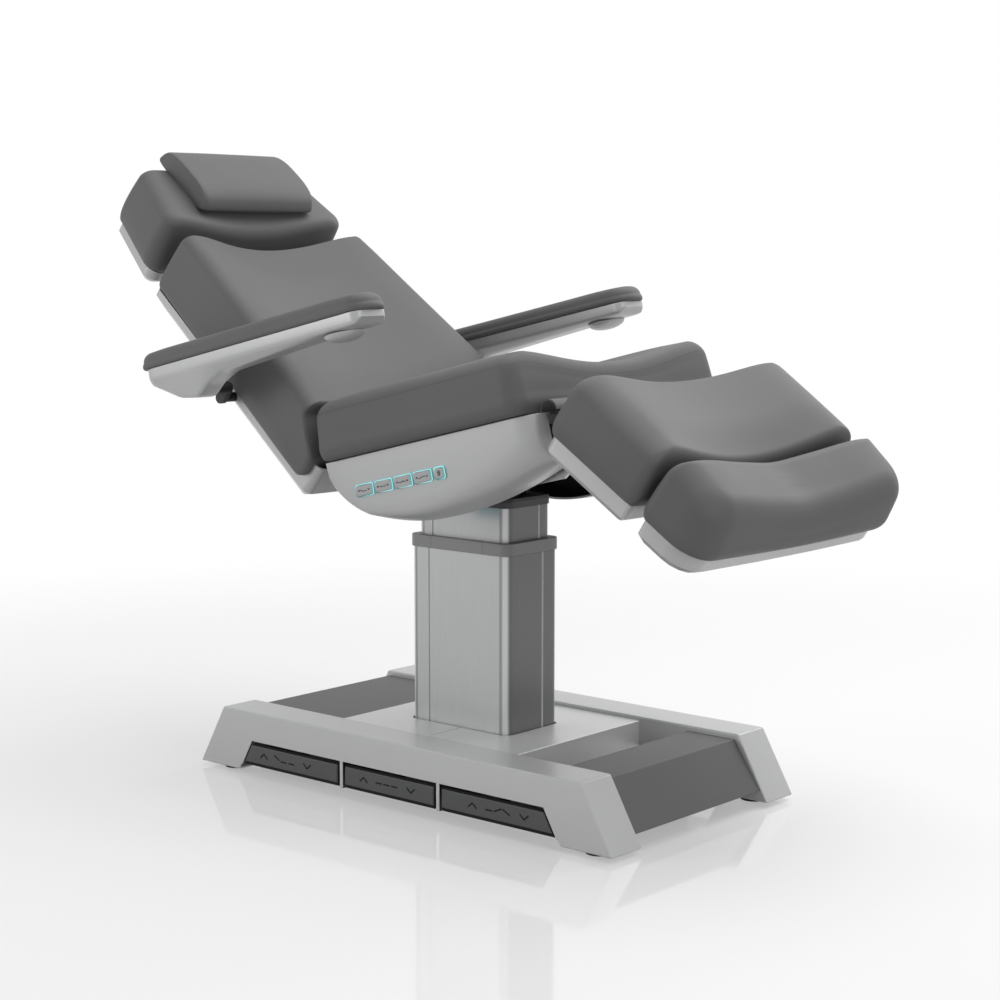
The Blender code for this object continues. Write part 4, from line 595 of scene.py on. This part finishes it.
def swell(item, turn):
    # from a slightly smaller start, held along its underside; no point ends further off than the cap
    mesh = item.data
    count = len(mesh.vertices)
    rest, out, moved = (np.zeros(count * 3) for i in range(3))
    mesh.vertices.foreach_get("co", rest)
    mesh.vertex_normals.foreach_get("vector", out)
    rest, out = rest.reshape(-1, 3), out.reshape(-1, 3)
    up = np.array([math.sin(math.radians(turn)), 0.0, math.cos(math.radians(turn))])
    tall = rest @ up
    under = (out @ up < skin["heldFacing"]) | (tall < tall.min() + skin["heldBand"])
    mesh.vertices.foreach_set("co", (rest - skin["shrink"] * out * ~under[:, None]).ravel())
    group = item.vertex_groups.new(name="held")
    group.add(np.nonzero(under)[0].tolist(), 1.0, "REPLACE")
    cloth = item.modifiers.new("swell", "CLOTH")
    for key, value in clothSettings.items():
        setattr(cloth.settings, key, value)
    cloth.settings.effector_weights.gravity = 0.0
    cloth.point_cache.frame_start = 1
    cloth.point_cache.frame_end = skin["frames"]
    for step in range(1, skin["frames"] + 1):
        bpy.context.scene.frame_set(step)
    shape = item.evaluated_get(bpy.context.evaluated_depsgraph_get()).data
    shape.vertices.foreach_get("co", moved)
    item.modifiers.remove(cloth)
    item.vertex_groups.remove(group)
    bpy.context.scene.frame_set(1)
    rise = ((moved.reshape(-1, 3) - rest) * out).sum(1)
    rise = evened(rest, out, np.clip(rise, -skin["cap"], skin["cap"]))
    rise = np.where(under, 0, rise) * softStep((tall - tall.min() - skin["heldBand"]) / skin["spread"])
    print("  swelled", item.name, "by up to %.1f mm" % (1000 * np.abs(rise).max()))
    mesh.vertices.foreach_set("co", (rest + rise[:, None] * out).ravel())
    mesh.update()


def cushions(look):
    for name, pad in pads.items():
        points, seam = padGrid(pad)
        faces = gridFaces(*points.shape[:2], True)
        body = None if "bend" in pad else pad["body"]
        made = piece(name, placed(points, pad["hinge"], pad["turn"]), faces, [look], body, seam)
        swell(made, pad["turn"])
        subdivide(made)
        if "bend" in pad:
            first, second, start, end = pad["bend"]
            ends = np.array([[start[0], 0.0, start[1]], [end[0], 0.0, end[1]]])
            ends = placed(ends, pad["hinge"], pad["turn"])
            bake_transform(made)
        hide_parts(pad["node"])
    print("cushions made")


# Pillow

bolster = {"x": (-0.248, -0.055), "halfLength": 0.167, "height": 0.055, "clear": 0.0008, "rim": 0.005,
           "powers": (0.62, 0.75), "crownAt": 0.75, "endRound": 0.014, "endPuff": 0.10, "undercut": 0.74,
           "endSteps": 9, "lengthSteps": 40, "overSteps": 44, "underSteps": 16}


def pillow(look):
    # D section carried along Y between softly rounded ends; its underside follows the head cushion's hollow
    b = bolster
    pad = pads["headPad"]
    middle, half = sum(b["x"]) / 2, (b["x"][1] - b["x"][0]) / 2
    ease = np.sin(np.linspace(0, math.pi / 2, b["endSteps"]))
    near = b["halfLength"] - b["endRound"] + b["endRound"] * ease
    y = np.concatenate([-near[::-1], np.linspace(-near[0], near[0], b["lengthSteps"])[1:-1], near])[:, None]
    over = np.clip((np.abs(y) - near[0]) / b["endRound"], 0, 1)
    puff = 1 - b["endPuff"] * (1 - np.sqrt(1 - over ** 2))
    crown = padTop(pad, np.array(middle), np.array(b["crownAt"] * b["halfLength"])) + b["height"]
    rim = padTop(pad, np.array(middle), np.array(b["halfLength"])) + b["rim"]
    turn = np.linspace(0, math.pi, b["overSteps"])[None, :]
    out = np.sign(np.cos(turn)) * np.abs(np.cos(turn)) ** b["powers"][0]
    up = np.abs(np.sin(turn)) ** b["powers"][1]
    below = np.linspace(-b["undercut"], b["undercut"], b["underSteps"])[None, :]
    x = middle + half * puff * np.concatenate([out, below], 1)
    floor = padTop(pad, x, y + 0 * x) + b["clear"]
    z = np.concatenate([rim + (crown - rim) * puff * up, floor[:, b["overSteps"]:]], 1)
    points = np.stack([x, y + 0 * x, np.maximum(z, floor)], -1)
    made = piece("pillowBolster", placed(points, pad["hinge"], pad["turn"]), tubeFaces(points), [look], "head",
                 np.ones(x.shape))
    swell(made, pad["turn"])
    subdivide(made)
    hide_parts("pillow")
    print("pillow made")


# Side covers under the seat

cover = {"top": 0.0514, "rear": -0.160, "rearGap": 0.0005, "begins": 0.012, "front": 0.4064, "halfWidth": 0.305,
         "wall": 0.004, "lowX": 0.0834, "lowZ": -0.1031, "edgeY": 0.205, "bellyY": 0.250, "slope": 0.55,
         "creaseX": 0.0584, "creaseZ": -0.0757, "creaseCurve": 0.72, "cornerR": 0.050, "pull": 0.9, "lean": 0.004,
         "knee": 0.006, "kneeShare": 0.35, "lip": 0.002, "flange": 0.2503,
         "radii": (0, 0.0025, 0.020, 0.030, 0.030, 0), "radiusSteps": 9, "steps": (44, 36, 20)}


def coverSections(x):
    # at each x: top flange, upright side down to the crease, belly turned under to the inner edge
    c = cover
    wall, top = c["wall"], c["top"]
    reach = np.clip((c["lowX"] - x) / (c["lowX"] - c["rear"] + c["rearGap"]), 0, 1)
    behind = c["lowZ"] + (top - c["lowZ"]) * (1 - np.sqrt(1 - reach ** 2))
    low = np.where(x < c["lowX"], behind, c["lowZ"] + c["slope"] * (x - c["lowX"]) ** 2)
    low = np.minimum(low, top - 5 * wall)
    crease = np.clip(c["creaseZ"] + c["creaseCurve"] * (x - c["creaseX"]) ** 2, low + 2 * wall, top - 2 * wall)
    turn = np.clip(x - (c["front"] - c["cornerR"]), 0, c["cornerR"]) / c["cornerR"]
    side = c["halfWidth"] - c["pull"] * c["cornerR"] * (1 - np.sqrt(1 - turn ** 2))
    belly = np.minimum(c["bellyY"], side - 5 * wall)
    edge = np.minimum(c["edgeY"], belly - 5 * wall)
    flange = np.minimum(c["flange"], side - 2 * wall)
    knee = (side + belly) / 2 + c["knee"]
    y = np.stack([flange, side, side - c["lean"], knee, belly, edge], 1)
    z = np.stack([top + 0 * x, top + 0 * x, crease, low + c["kneeShare"] * (crease - low), low, low + c["lip"]], 1)
    return roundedSections(np.stack([y, z], -1), c["radii"], c["radiusSteps"], False)


def sideCovers(paint, paintedShade):
    # a thin sheet through the sections, given its wall inwards
    c = cover
    onRear, onMiddle, onCorner = c["steps"]
    start, turn = c["rear"] + c["begins"], c["front"] - c["cornerR"]
    x = np.concatenate([start + (c["lowX"] - start) * (1 - np.cos(np.linspace(0, math.pi / 2, onRear))),
                        np.linspace(c["lowX"], turn, onMiddle)[1:],
                        turn + c["cornerR"] * np.sin(np.linspace(0, math.pi / 2, onCorner))[1:]])
    section = coverSections(x)
    for side, name, node in ((-1, "sideCoverRight", "side_cover_right"), (1, "sideCoverLeft", "side_cover_left")):
        points = swept(x, section * np.array([side, 1]))
        faces = gridFaces(*points.shape[:2], False)
        made = piece(name, placed(points, "seat_tilt", turns["seat"]), faces, [paint, paintedShade], "seat")
        outward = made.data.polygons[len(made.data.polygons) // 2]
        if outward.normal.y * side < 0:
            made.data.flip_normals()
        wall = made.modifiers.new("wall", "SOLIDIFY")
        wall.thickness = c["wall"]
        wall.offset = -1.0
        # the wall's inner faces take the black look, painted shade
        wall.material_offset = 1
        settled(made)
        if side < 0:
            cutHoles(made)
        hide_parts(node)
    print("side covers made")


# Push buttons on the right cover

keys = {"z": -0.0183, "height": 0.021, "corner": 0.005, "play": 0.0008, "face": -0.308, "holeY": (-0.330, -0.285),
        "places": {"back": (-0.0513, 0.046), "lift": (0.0027, 0.046), "leg": (0.0567, 0.046),
                   "tilt": (0.1107, 0.046), "lamp": (0.1565, 0.024)}}   # middle and length along x
keyRim = {"gap": 0.0014, "radius": 0.0011, "flat": 0.6, "standOff": 0.0006, "sides": 8,
       "lit": (0.15, 1.1), "litUp": 1.4, "litRight": 0.9, "litLeast": 0.08}


def keyOutline(middle, length, grow, steps):
    # rounded rectangle in x and z
    half, tall = length / 2 + grow, keys["height"] / 2 + grow
    corners = np.array([[[-half, -tall], [half, -tall], [half, tall], [-half, tall]]])
    loop = roundedSections(corners, [keys["corner"] + grow] * 4, steps)[0]
    return loop + np.array([middle, keys["z"]])


def cutHoles(item):
    for middle, length in keys["places"].values():
        loop = keyOutline(middle, length, keys["play"], 6)
        points = np.stack([np.insert(loop, 1, y, 1) for y in keys["holeY"]])
        tool = piece("hole", placed(points, "seat_tilt", turns["seat"]), tubeFaces(points), [], "seat")
        hole = item.modifiers.new("hole", "BOOLEAN")
        hole.object = tool
        hole.operation = "DIFFERENCE"
        hole.solver = "EXACT"
        settled(item)
        bpy.data.objects.remove(tool)


def keyRims(look):
    # a lit bead round each button, brightest along the top and the right
    for name, (middle, length) in keys["places"].items():
        loop = keyOutline(middle, length, keyRim["gap"], 8)
        loop = np.concatenate([loop, loop[:1]])
        out = loop - np.array([middle, keys["z"]])
        out = out / np.linalg.norm(out, axis=1, keepdims=True)
        a = np.linspace(0, 2 * math.pi, keyRim["sides"], endpoint=False)
        flat = loop[:, None] + keyRim["radius"] * out[:, None] * np.cos(a)[None, :, None]
        y = -cover["halfWidth"] - keyRim["standOff"] + keyRim["radius"] * keyRim["flat"] * np.sin(a) + 0 * flat[..., 0]
        towards = np.maximum(out[:, 1] * keyRim["litUp"], out[:, 0] * keyRim["litRight"])
        lit = np.clip(keyRim["lit"][0] + keyRim["lit"][1] * towards, keyRim["litLeast"], 1)[:, None] + 0 * y
        points = np.stack([flat[..., 0], y, flat[..., 1]], -1)
        faces = gridFaces(*points.shape[:2], True)
        made = piece("rim_" + name, placed(points, "seat_tilt", turns["seat"]), faces, [look], "seat", lit)
    print("button rims made")


# Pedal faces on the pedal plates, whose black round the faces is painted shade

pedal = {"backY": -0.2980, "edgeY": -0.2996, "faceY": -0.3012, "low": 0.0315, "high": 0.0685, "bevel": 0.0020,
         "corner": 0.0025, "web": 0.1450, "middle": 0.1230, "outer": (0.4370, 0.5735), "footZ": 0.010}


def pedalFaces(look):
    # outline carried outwards from the plate, its last step drawn in as a bevel
    p = pedal
    n, low, high = p["bevel"], p["low"], p["high"]
    lowX, highX = (p["outer"][0] - p["outer"][1] * (z - p["footZ"]) for z in (low, high))
    spans = {"back": (-lowX, -highX, -p["web"], -p["web"]),
             "lift": (-p["middle"], -p["middle"], p["middle"], p["middle"]),
             "leg": (p["web"], p["web"], lowX, highX)}
    for name, (a, b, c, d) in spans.items():
        outline = np.array([[[a, low], [c, low], [d, high], [b, high]],
                            [[a + n, low + n], [c - n, low + n], [d - n, high - n], [b + n, high - n]]])
        loops = roundedSections(outline, [p["corner"]] * 4, 5)[[0, 0, 1]]
        points = np.stack([np.insert(loop, 1, p[y], 1) for loop, y in zip(loops, ("backY", "edgeY", "faceY"))])
        made = piece("pedalFace_" + name, points, tubeFaces(points), [look], "pedal_" + name)
        made.data.shade_flat()
    print("pedal faces made")


# Printed signs: strokes raised a little from a face

sections = {   # the section that moves, as lines in x and z
    "back": [((-0.034, 0.008), (-0.018, -0.001)), ((-0.014, -0.003), (0.004, -0.003)),
             ((0.010, -0.003), (0.027, -0.003))],
    "lift": [((-0.032, 0.0), (-0.015, 0.0)), ((-0.010, 0.0), (0.007, 0.0)), ((0.012, 0.0), (0.029, 0.0))],
    "leg": [((-0.032, -0.002), (-0.014, -0.002)), ((-0.010, -0.002), (0.009, 0.006)),
            ((0.012, 0.006), (0.030, -0.003))],
    "tilt": [((-0.032, -0.006), (-0.012, 0.0)), ((-0.008, 0.001), (0.010, 0.006)), ((0.014, 0.007), (0.030, 0.002))],
}
pedalSign = {"chevron": (0.011, 0.0095), "at": 0.0655, "stroke": 0.0030, "raised": 0.0003, "z": 0.0505, "scale": 1.0,
             "drop": 0.0, "middles": {"back": -0.299, "lift": -0.003, "leg": 0.2915}}
keySign = {"chevron": (0.0026, 0.0030), "at": 0.0136, "stroke": 0.0016, "raised": 0.0002, "z": keys["z"],
           "scale": 0.27, "drop": 0.001, "bulb": (0.0032, 0.0048), "bulbTurn": 0.2, "bulbSteps": 9,
           "wire": [((-0.001, 0.002), (0.001, -0.002))]}
boxSides = [[0, 1, 2, 3], [7, 6, 5, 4], [0, 4, 5, 1], [1, 5, 6, 2], [2, 6, 7, 3], [3, 7, 4, 0]]


def strokes(lines, sign):
    # one thin bar per line, each between two points of the face
    blocks, faces = [], []
    for i, ((x0, z0), (x1, z1)) in enumerate(lines):
        along = np.array([x1 - x0, z1 - z0])
        along = along / np.linalg.norm(along)
        across = np.array([-along[1], along[0]]) * sign["stroke"] / 2
        flat = np.array([[x0, z0] - across, [x1, z1] - across, [x1, z1] + across, [x0, z0] + across])
        blocks += [np.insert(flat, 1, depth, 1) for depth in (-sign["raised"], sign["raised"])]
        faces += [[8 * i + k for k in side] for side in boxSides]
    return np.concatenate(blocks), faces


def printed(name, points, faces, body, look):
    made = piece(name, points, faces, [look], body)
    made.data.shade_flat()


def shifted(lines, x, z, scale=1.0):
    return [((x + a * scale, z + b * scale), (x + c * scale, z + d * scale)) for (a, b), (c, d) in lines]


def signLines(section, middle, sign):
    # a chevron for each way, and the section between them
    wide, tall = sign["chevron"][0], sign["chevron"][1] / 2
    rising, falling = ([((-wide, -h), (0.0, h)), ((0.0, h), (wide, -h))] for h in (tall, -tall))
    return (shifted(rising, middle - sign["at"], sign["z"]) + shifted(falling, middle + sign["at"], sign["z"])
            + shifted(sections[section], middle, sign["z"] - sign["drop"], sign["scale"]))


def pedalSigns(look):
    for name, middle in pedalSign["middles"].items():
        points, faces = strokes(signLines(name, middle, pedalSign), pedalSign)
        printed("sign_" + name, points + np.array([0, pedal["faceY"], 0]), faces, "pedal_" + name, look)
    print("pedal signs made")


def keySigns(look):
    for name, (middle, length) in keys["places"].items():
        if name == "lamp":
            a = np.linspace(0, 2 * math.pi, keySign["bulbSteps"]) + keySign["bulbTurn"]
            ring = np.stack([np.cos(a), np.sin(a)], -1) * keySign["bulb"]
            lines = shifted(list(zip(ring[:-1], ring[1:])) + keySign["wire"], middle, keys["z"])
        else:
            lines = signLines(name, middle, keySign)
        points, faces = strokes(lines, keySign)
        points = placed(points + np.array([0, keys["face"], 0]), "seat_tilt", turns["seat"])
        printed("keySign_" + name, points, faces, "button_" + name, look)
    print("button signs made")


# Arm shells

arm = {"half": 0.044, "flat": 0.58, "top": 0.0604, "band": 0.0364, "rear": -0.1030, "front": 0.5330, "endR": 0.024,
       "under": [(-0.1030, 0.0253), (-0.0271, -0.0120), (0.0300, -0.0210), (0.0637, 0.0010), (0.1134, 0.0180),
                 (0.2987, 0.0252), (0.4000, 0.0290), (0.5170, 0.0325), (0.5330, 0.0500)],
       "blur": 0.005, "blurSteps": 40, "fineSteps": 1400, "margin": 0.03, "endSteps": 12, "lengthSteps": 110,
       "radii": (0.0015, 0.007, 0.009, 0.009, 0.007, 0.0015), "radiusSteps": 6, "leastStep": 0.0005, "sharp": 40.0}


def armShells(paint):
    # at each x: upright sides down to the band line, slopes in to a flat underside that follows the lower outline
    m = arm
    fine = np.linspace(m["rear"] - m["margin"], m["front"] + m["margin"], m["fineSteps"])
    knots = np.array(m["under"])
    steps = np.arange(-m["blurSteps"], m["blurSteps"] + 1) * (fine[1] - fine[0])
    kernel = np.exp(-0.5 * (steps / m["blur"]) ** 2)
    low = np.convolve(np.interp(fine, knots[:, 0], knots[:, 1]), kernel / kernel.sum(), "same")
    ease = m["endR"] * (1 - np.cos(np.linspace(0, math.pi / 2, m["endSteps"])))
    straight = np.linspace(m["rear"] + m["endR"], m["front"] - m["endR"], m["lengthSteps"])[1:-1]
    x = np.concatenate([m["rear"] + ease, straight, m["front"] - ease[::-1]])
    low = np.interp(x, fine, low)
    band = np.maximum(low, m["band"])
    near = np.clip(1 - np.minimum(x - m["rear"], m["front"] - x) / m["endR"], 0, 1)
    half = m["half"] * (m["flat"] + (1 - m["flat"]) * np.sqrt(1 - near ** 2))
    flat = np.minimum(m["half"] * m["flat"], half - m["leastStep"])
    top = m["top"] + 0 * x
    y = np.stack([-half, -half, -flat, flat, half, half], 1)
    z = np.stack([top, band, low, low, band, top], 1)
    points = swept(x, roundedSections(np.stack([y, z], -1), m["radii"], m["radiusSteps"]))
    for name, node, body in (("armShellRight", "arm_shell_right", "arm_right"),
                             ("armShellLeft", "arm_shell_left", "arm_left")):
        made = piece(name, placed(points, body + "_swing", turns["arm"]), tubeFaces(points), [paint], body)
        made.data.set_sharp_from_angle(angle=math.radians(m["sharp"]))
        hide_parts(node)
    print("arm shells made")


# Rigid pieces that keep the CAD shape: eased ones get small bevels that catch the light, plain ones only a look

bevels = {"segments": 3, "sharp": 32.0, "weight": 100, "merge": 0.000005, "flatWithin": 0.5}
eased = [   # look, bevel width, nodes
    ("railPaint", 0.0040, ["base_rail_right", "base_rail_left"]),
    ("deckPaint", 0.0012, ["base_deck"]),
    ("panelPaint", 0.0012, ["head_end_panel", "foot_end_panel"]),
    ("outerColumn", 0.0006, ["column_outer"]),
    ("innerColumn", 0.0006, ["column_inner"]),
    ("collarPlastic", 0.0015, ["column_collar"]),
    ("capCasting", 0.0012, ["column_head"]),
    ("silverPaint", 0.0015, ["back_shell", "head_shell", "calf_shell", "foot_shell"]),
    ("silverPaint", 0.0010, ["arm_knob_right", "arm_knob_left"]),
    ("keyPlastic", 0.0008, ["button_back", "button_lift", "button_leg", "button_tilt", "button_lamp"]),
]
plain = {
    "zincSteel": ["base_frame", "lift_rod", "seat_frame", "tilt_pin", "back_hinge_rod", "leg_hinge_rod",
                  "back_actuator_rod", "leg_actuator_rod", "tilt_actuator_rod", "back_frame", "calf_frame",
                  "foot_slide"],
    # the pedal bar is made dark as painted shade in the gap above the pedals; the actuators are dark castings
    "darkCasting": ["pedal_bar", "lift_actuator", "back_actuator", "leg_actuator", "tilt_actuator"],
    "knuckleBlack": ["arm_bracket_right", "arm_bracket_left"],
    "footRubber": ["level_foot_head_right", "level_foot_head_left", "level_foot_foot_right", "level_foot_foot_left"],
    "flapLeather": ["leg_flap"],
    # the pedal plates are black round their smaller rubber faces: painted shade for the gaps above and below them
    "inkBlack": ["pedal_back", "pedal_lift", "pedal_leg"],
}


def easedPiece(node, look, width, looks):
    # a merged copy of the node
    source = frame["nodes"][node]
    bm = bmesh.new()
    bm.from_mesh(source.data)
    bmesh.ops.remove_doubles(bm, verts=bm.verts[:], dist=bevels["merge"])
    bmesh.ops.dissolve_limit(bm, angle_limit=math.radians(bevels["flatWithin"]), verts=bm.verts[:], edges=bm.edges[:])
    mesh = bpy.data.meshes.new(node + "_eased")
    bm.to_mesh(mesh)
    bm.free()
    mesh.shade_smooth()
    mesh.materials.clear()
    mesh.materials.append(looks[look])
    made = linked(node + "_eased", mesh)
    edge = made.modifiers.new("ease", "BEVEL")
    edge.width = width
    edge.segments = bevels["segments"]
    edge.limit_method = "ANGLE"
    edge.angle_limit = math.radians(bevels["sharp"])
    flat = made.modifiers.new("flat", "WEIGHTED_NORMAL")
    flat.weight = bevels["weight"]
    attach(made, source["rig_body"])
    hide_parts(node)


def rigidPieces(looks):
    for look, width, nodes in eased:
        for node in nodes:
            easedPiece(node, look, width, looks)
    for look, nodes in plain.items():
        for node in nodes:
            mesh = frame["nodes"][node].data
            mesh.materials.clear()
            mesh.materials.append(looks[look])
    print("rigid pieces finished")


# Studio

studio = {"lens": 74.85, "sensor": 36.0, "at": (2.8338, -3.2172, 1.1203), "yaw": 41.022, "pitch": -6.940,
          "ambient": 0.26}
ground = {"half": 30.0, "fade": (0.9, 3.4), "tones": (0.55, 0.92), "glow": 0.98, "glowShare": 0.45,
          "gloss": 0.16, "glossTone": 0.9, "glossRough": 0.06}
lamps = {   # place, target, size, power
    "overhead": ((0.4, 0.7, 3.8), (0.0, 0.0, 0.5), (3.4, 3.4), 104.0),
    "behind": ((0.8, 3.2, 2.6), (0.0, 0.0, 0.6), (2.4, 1.6), 36.0),
    "left": ((-2.3, -3.3, 1.5), (-0.4, 0.0, 0.5), (1.8, 1.6), 38.0),
    "right": ((3.4, -1.2, 1.5), (0.0, 0.0, 0.6), (1.6, 1.6), 20.0),
}


def camera():
    data = bpy.data.cameras.new("camera")
    data.lens = studio["lens"]
    data.sensor_width = studio["sensor"]
    made = linked("camera", data)
    yaw, pitch = math.radians(studio["yaw"]), math.radians(studio["pitch"])
    look = Vector((-math.sin(yaw) * math.cos(pitch), math.cos(yaw) * math.cos(pitch), math.sin(pitch)))
    made.location = studio["at"]
    made.rotation_euler = look.to_track_quat("-Z", "Y").to_euler()
    bpy.context.scene.camera = made


def lamp(name, at, target, size, power):
    data = bpy.data.lights.new(name, "AREA")
    data.shape = "RECTANGLE"
    data.size, data.size_y = size
    data.energy = power
    made = linked(name, data)
    made.location = at
    made.rotation_euler = (Vector(target) - Vector(at)).to_track_quat("-Z", "Y").to_euler()


def floorLook():
    # pale gloss floor that fades into the white backdrop; its bounce light is kept low
    g = ground
    f = Finish("studioFloor")
    x, y, z = f.axes()
    far = ((x * x + y * y) ** 0.5).ramp(*g["fade"])
    rays = [f.node("ShaderNodeLightPath", {}, {}, ray) for ray in ("Is Camera Ray", "Is Glossy Ray")]
    seen = rays[0].calc("MINIMUM", rays[0] + rays[1], 1.0)
    matt = f.node("ShaderNodeBsdfDiffuse", {}, {"Color": f.mix(seen, *(grey(tone) for tone in g["tones"]))})
    glow = f.node("ShaderNodeEmission", {}, {"Color": grey(1.0), "Strength": seen * g["glow"]})
    gloss = f.node("ShaderNodeBsdfGlossy", {}, {"Color": grey(g["glossTone"]), "Roughness": g["glossRough"]})
    white = f.node("ShaderNodeEmission", {}, {"Color": grey(1.0), "Strength": 1.0})
    pale = f.node("ShaderNodeMixShader", {}, {0: g["glowShare"], 1: matt, 2: glow})
    near = f.node("ShaderNodeMixShader", {}, {0: g["gloss"], 1: pale, 2: gloss})
    whole = f.node("ShaderNodeMixShader", {}, {0: far, 1: near, 2: white})
    f.tree.links.new(whole.socket, f.tree.nodes["Material Output"].inputs["Surface"])
    return f.material


def backdrop():
    # white to the camera and in reflections, softer as a light
    world = bpy.data.worlds.new("studio")
    bpy.context.scene.world = world
    world.use_nodes = True
    tree = world.node_tree
    tree.nodes.clear()
    path = tree.nodes.new("ShaderNodeLightPath")
    seen = path.outputs["Is Camera Ray"]
    for ray in ("Is Glossy Ray", "Is Transmission Ray"):
        either = tree.nodes.new("ShaderNodeMath")
        either.operation = "ADD"
        either.use_clamp = True
        tree.links.new(seen, either.inputs[0])
        tree.links.new(path.outputs[ray], either.inputs[1])
        seen = either.outputs[0]
    strength = tree.nodes.new("ShaderNodeMapRange")
    strength.inputs[3].default_value = studio["ambient"]
    strength.inputs[4].default_value = 1.0
    tree.links.new(seen, strength.inputs[0])
    light = tree.nodes.new("ShaderNodeBackground")
    light.inputs["Color"].default_value = (1.0, 1.0, 1.0, 1.0)
    tree.links.new(strength.outputs[0], light.inputs["Strength"])
    out = tree.nodes.new("ShaderNodeOutputWorld")
    tree.links.new(light.outputs[0], out.inputs["Surface"])


def studioSet():
    half = ground["half"]
    corners = [(-half, -half, 0), (half, -half, 0), (half, half, 0), (-half, half, 0)]
    mesh = bpy.data.meshes.new("studioFloor")
    mesh.from_pydata(corners, [], [(0, 1, 2, 3)])
    mesh.materials.append(floorLook())
    floor = linked("studioFloor", mesh)
    backdrop()
    for name, settings in lamps.items():
        lamp(name, *settings)
    bpy.context.scene.view_settings.view_transform = "Standard"
    print("studio set")


camera()
studioSet()
looks = {"silverPaint": silverPaint(), "railPaint": railPaint(), "deckPaint": deckPaint(), "panelPaint": panelPaint(),
         "pedalRubber": pedalRubber(), "leather": leather("leather", True),
         "outerColumn": brushedColumn("outerColumn"), "innerColumn": brushedColumn("innerColumn", True),
         "capCasting": capCasting(), "flapLeather": leather("flapLeather", False), "knuckleBlack": knuckleBlack(),
         "collarPlastic": collarPlastic(), "zincSteel": zincSteel(), "darkCasting": darkCasting(),
         "footRubber": footRubber(), "keyPlastic": keyPlastic(), "glowTeal": glowTeal(), "inkBlack": inkBlack(),
         "coverInside": coverInside()}
rigidPieces(looks)
sideCovers(looks["silverPaint"], looks["coverInside"])
keyRims(looks["glowTeal"])
keySigns(looks["inkBlack"])
pedalFaces(looks["pedalRubber"])
pedalSigns(looks["inkBlack"])
armShells(looks["silverPaint"])
cushions(looks["leather"])
pillow(looks["leather"])
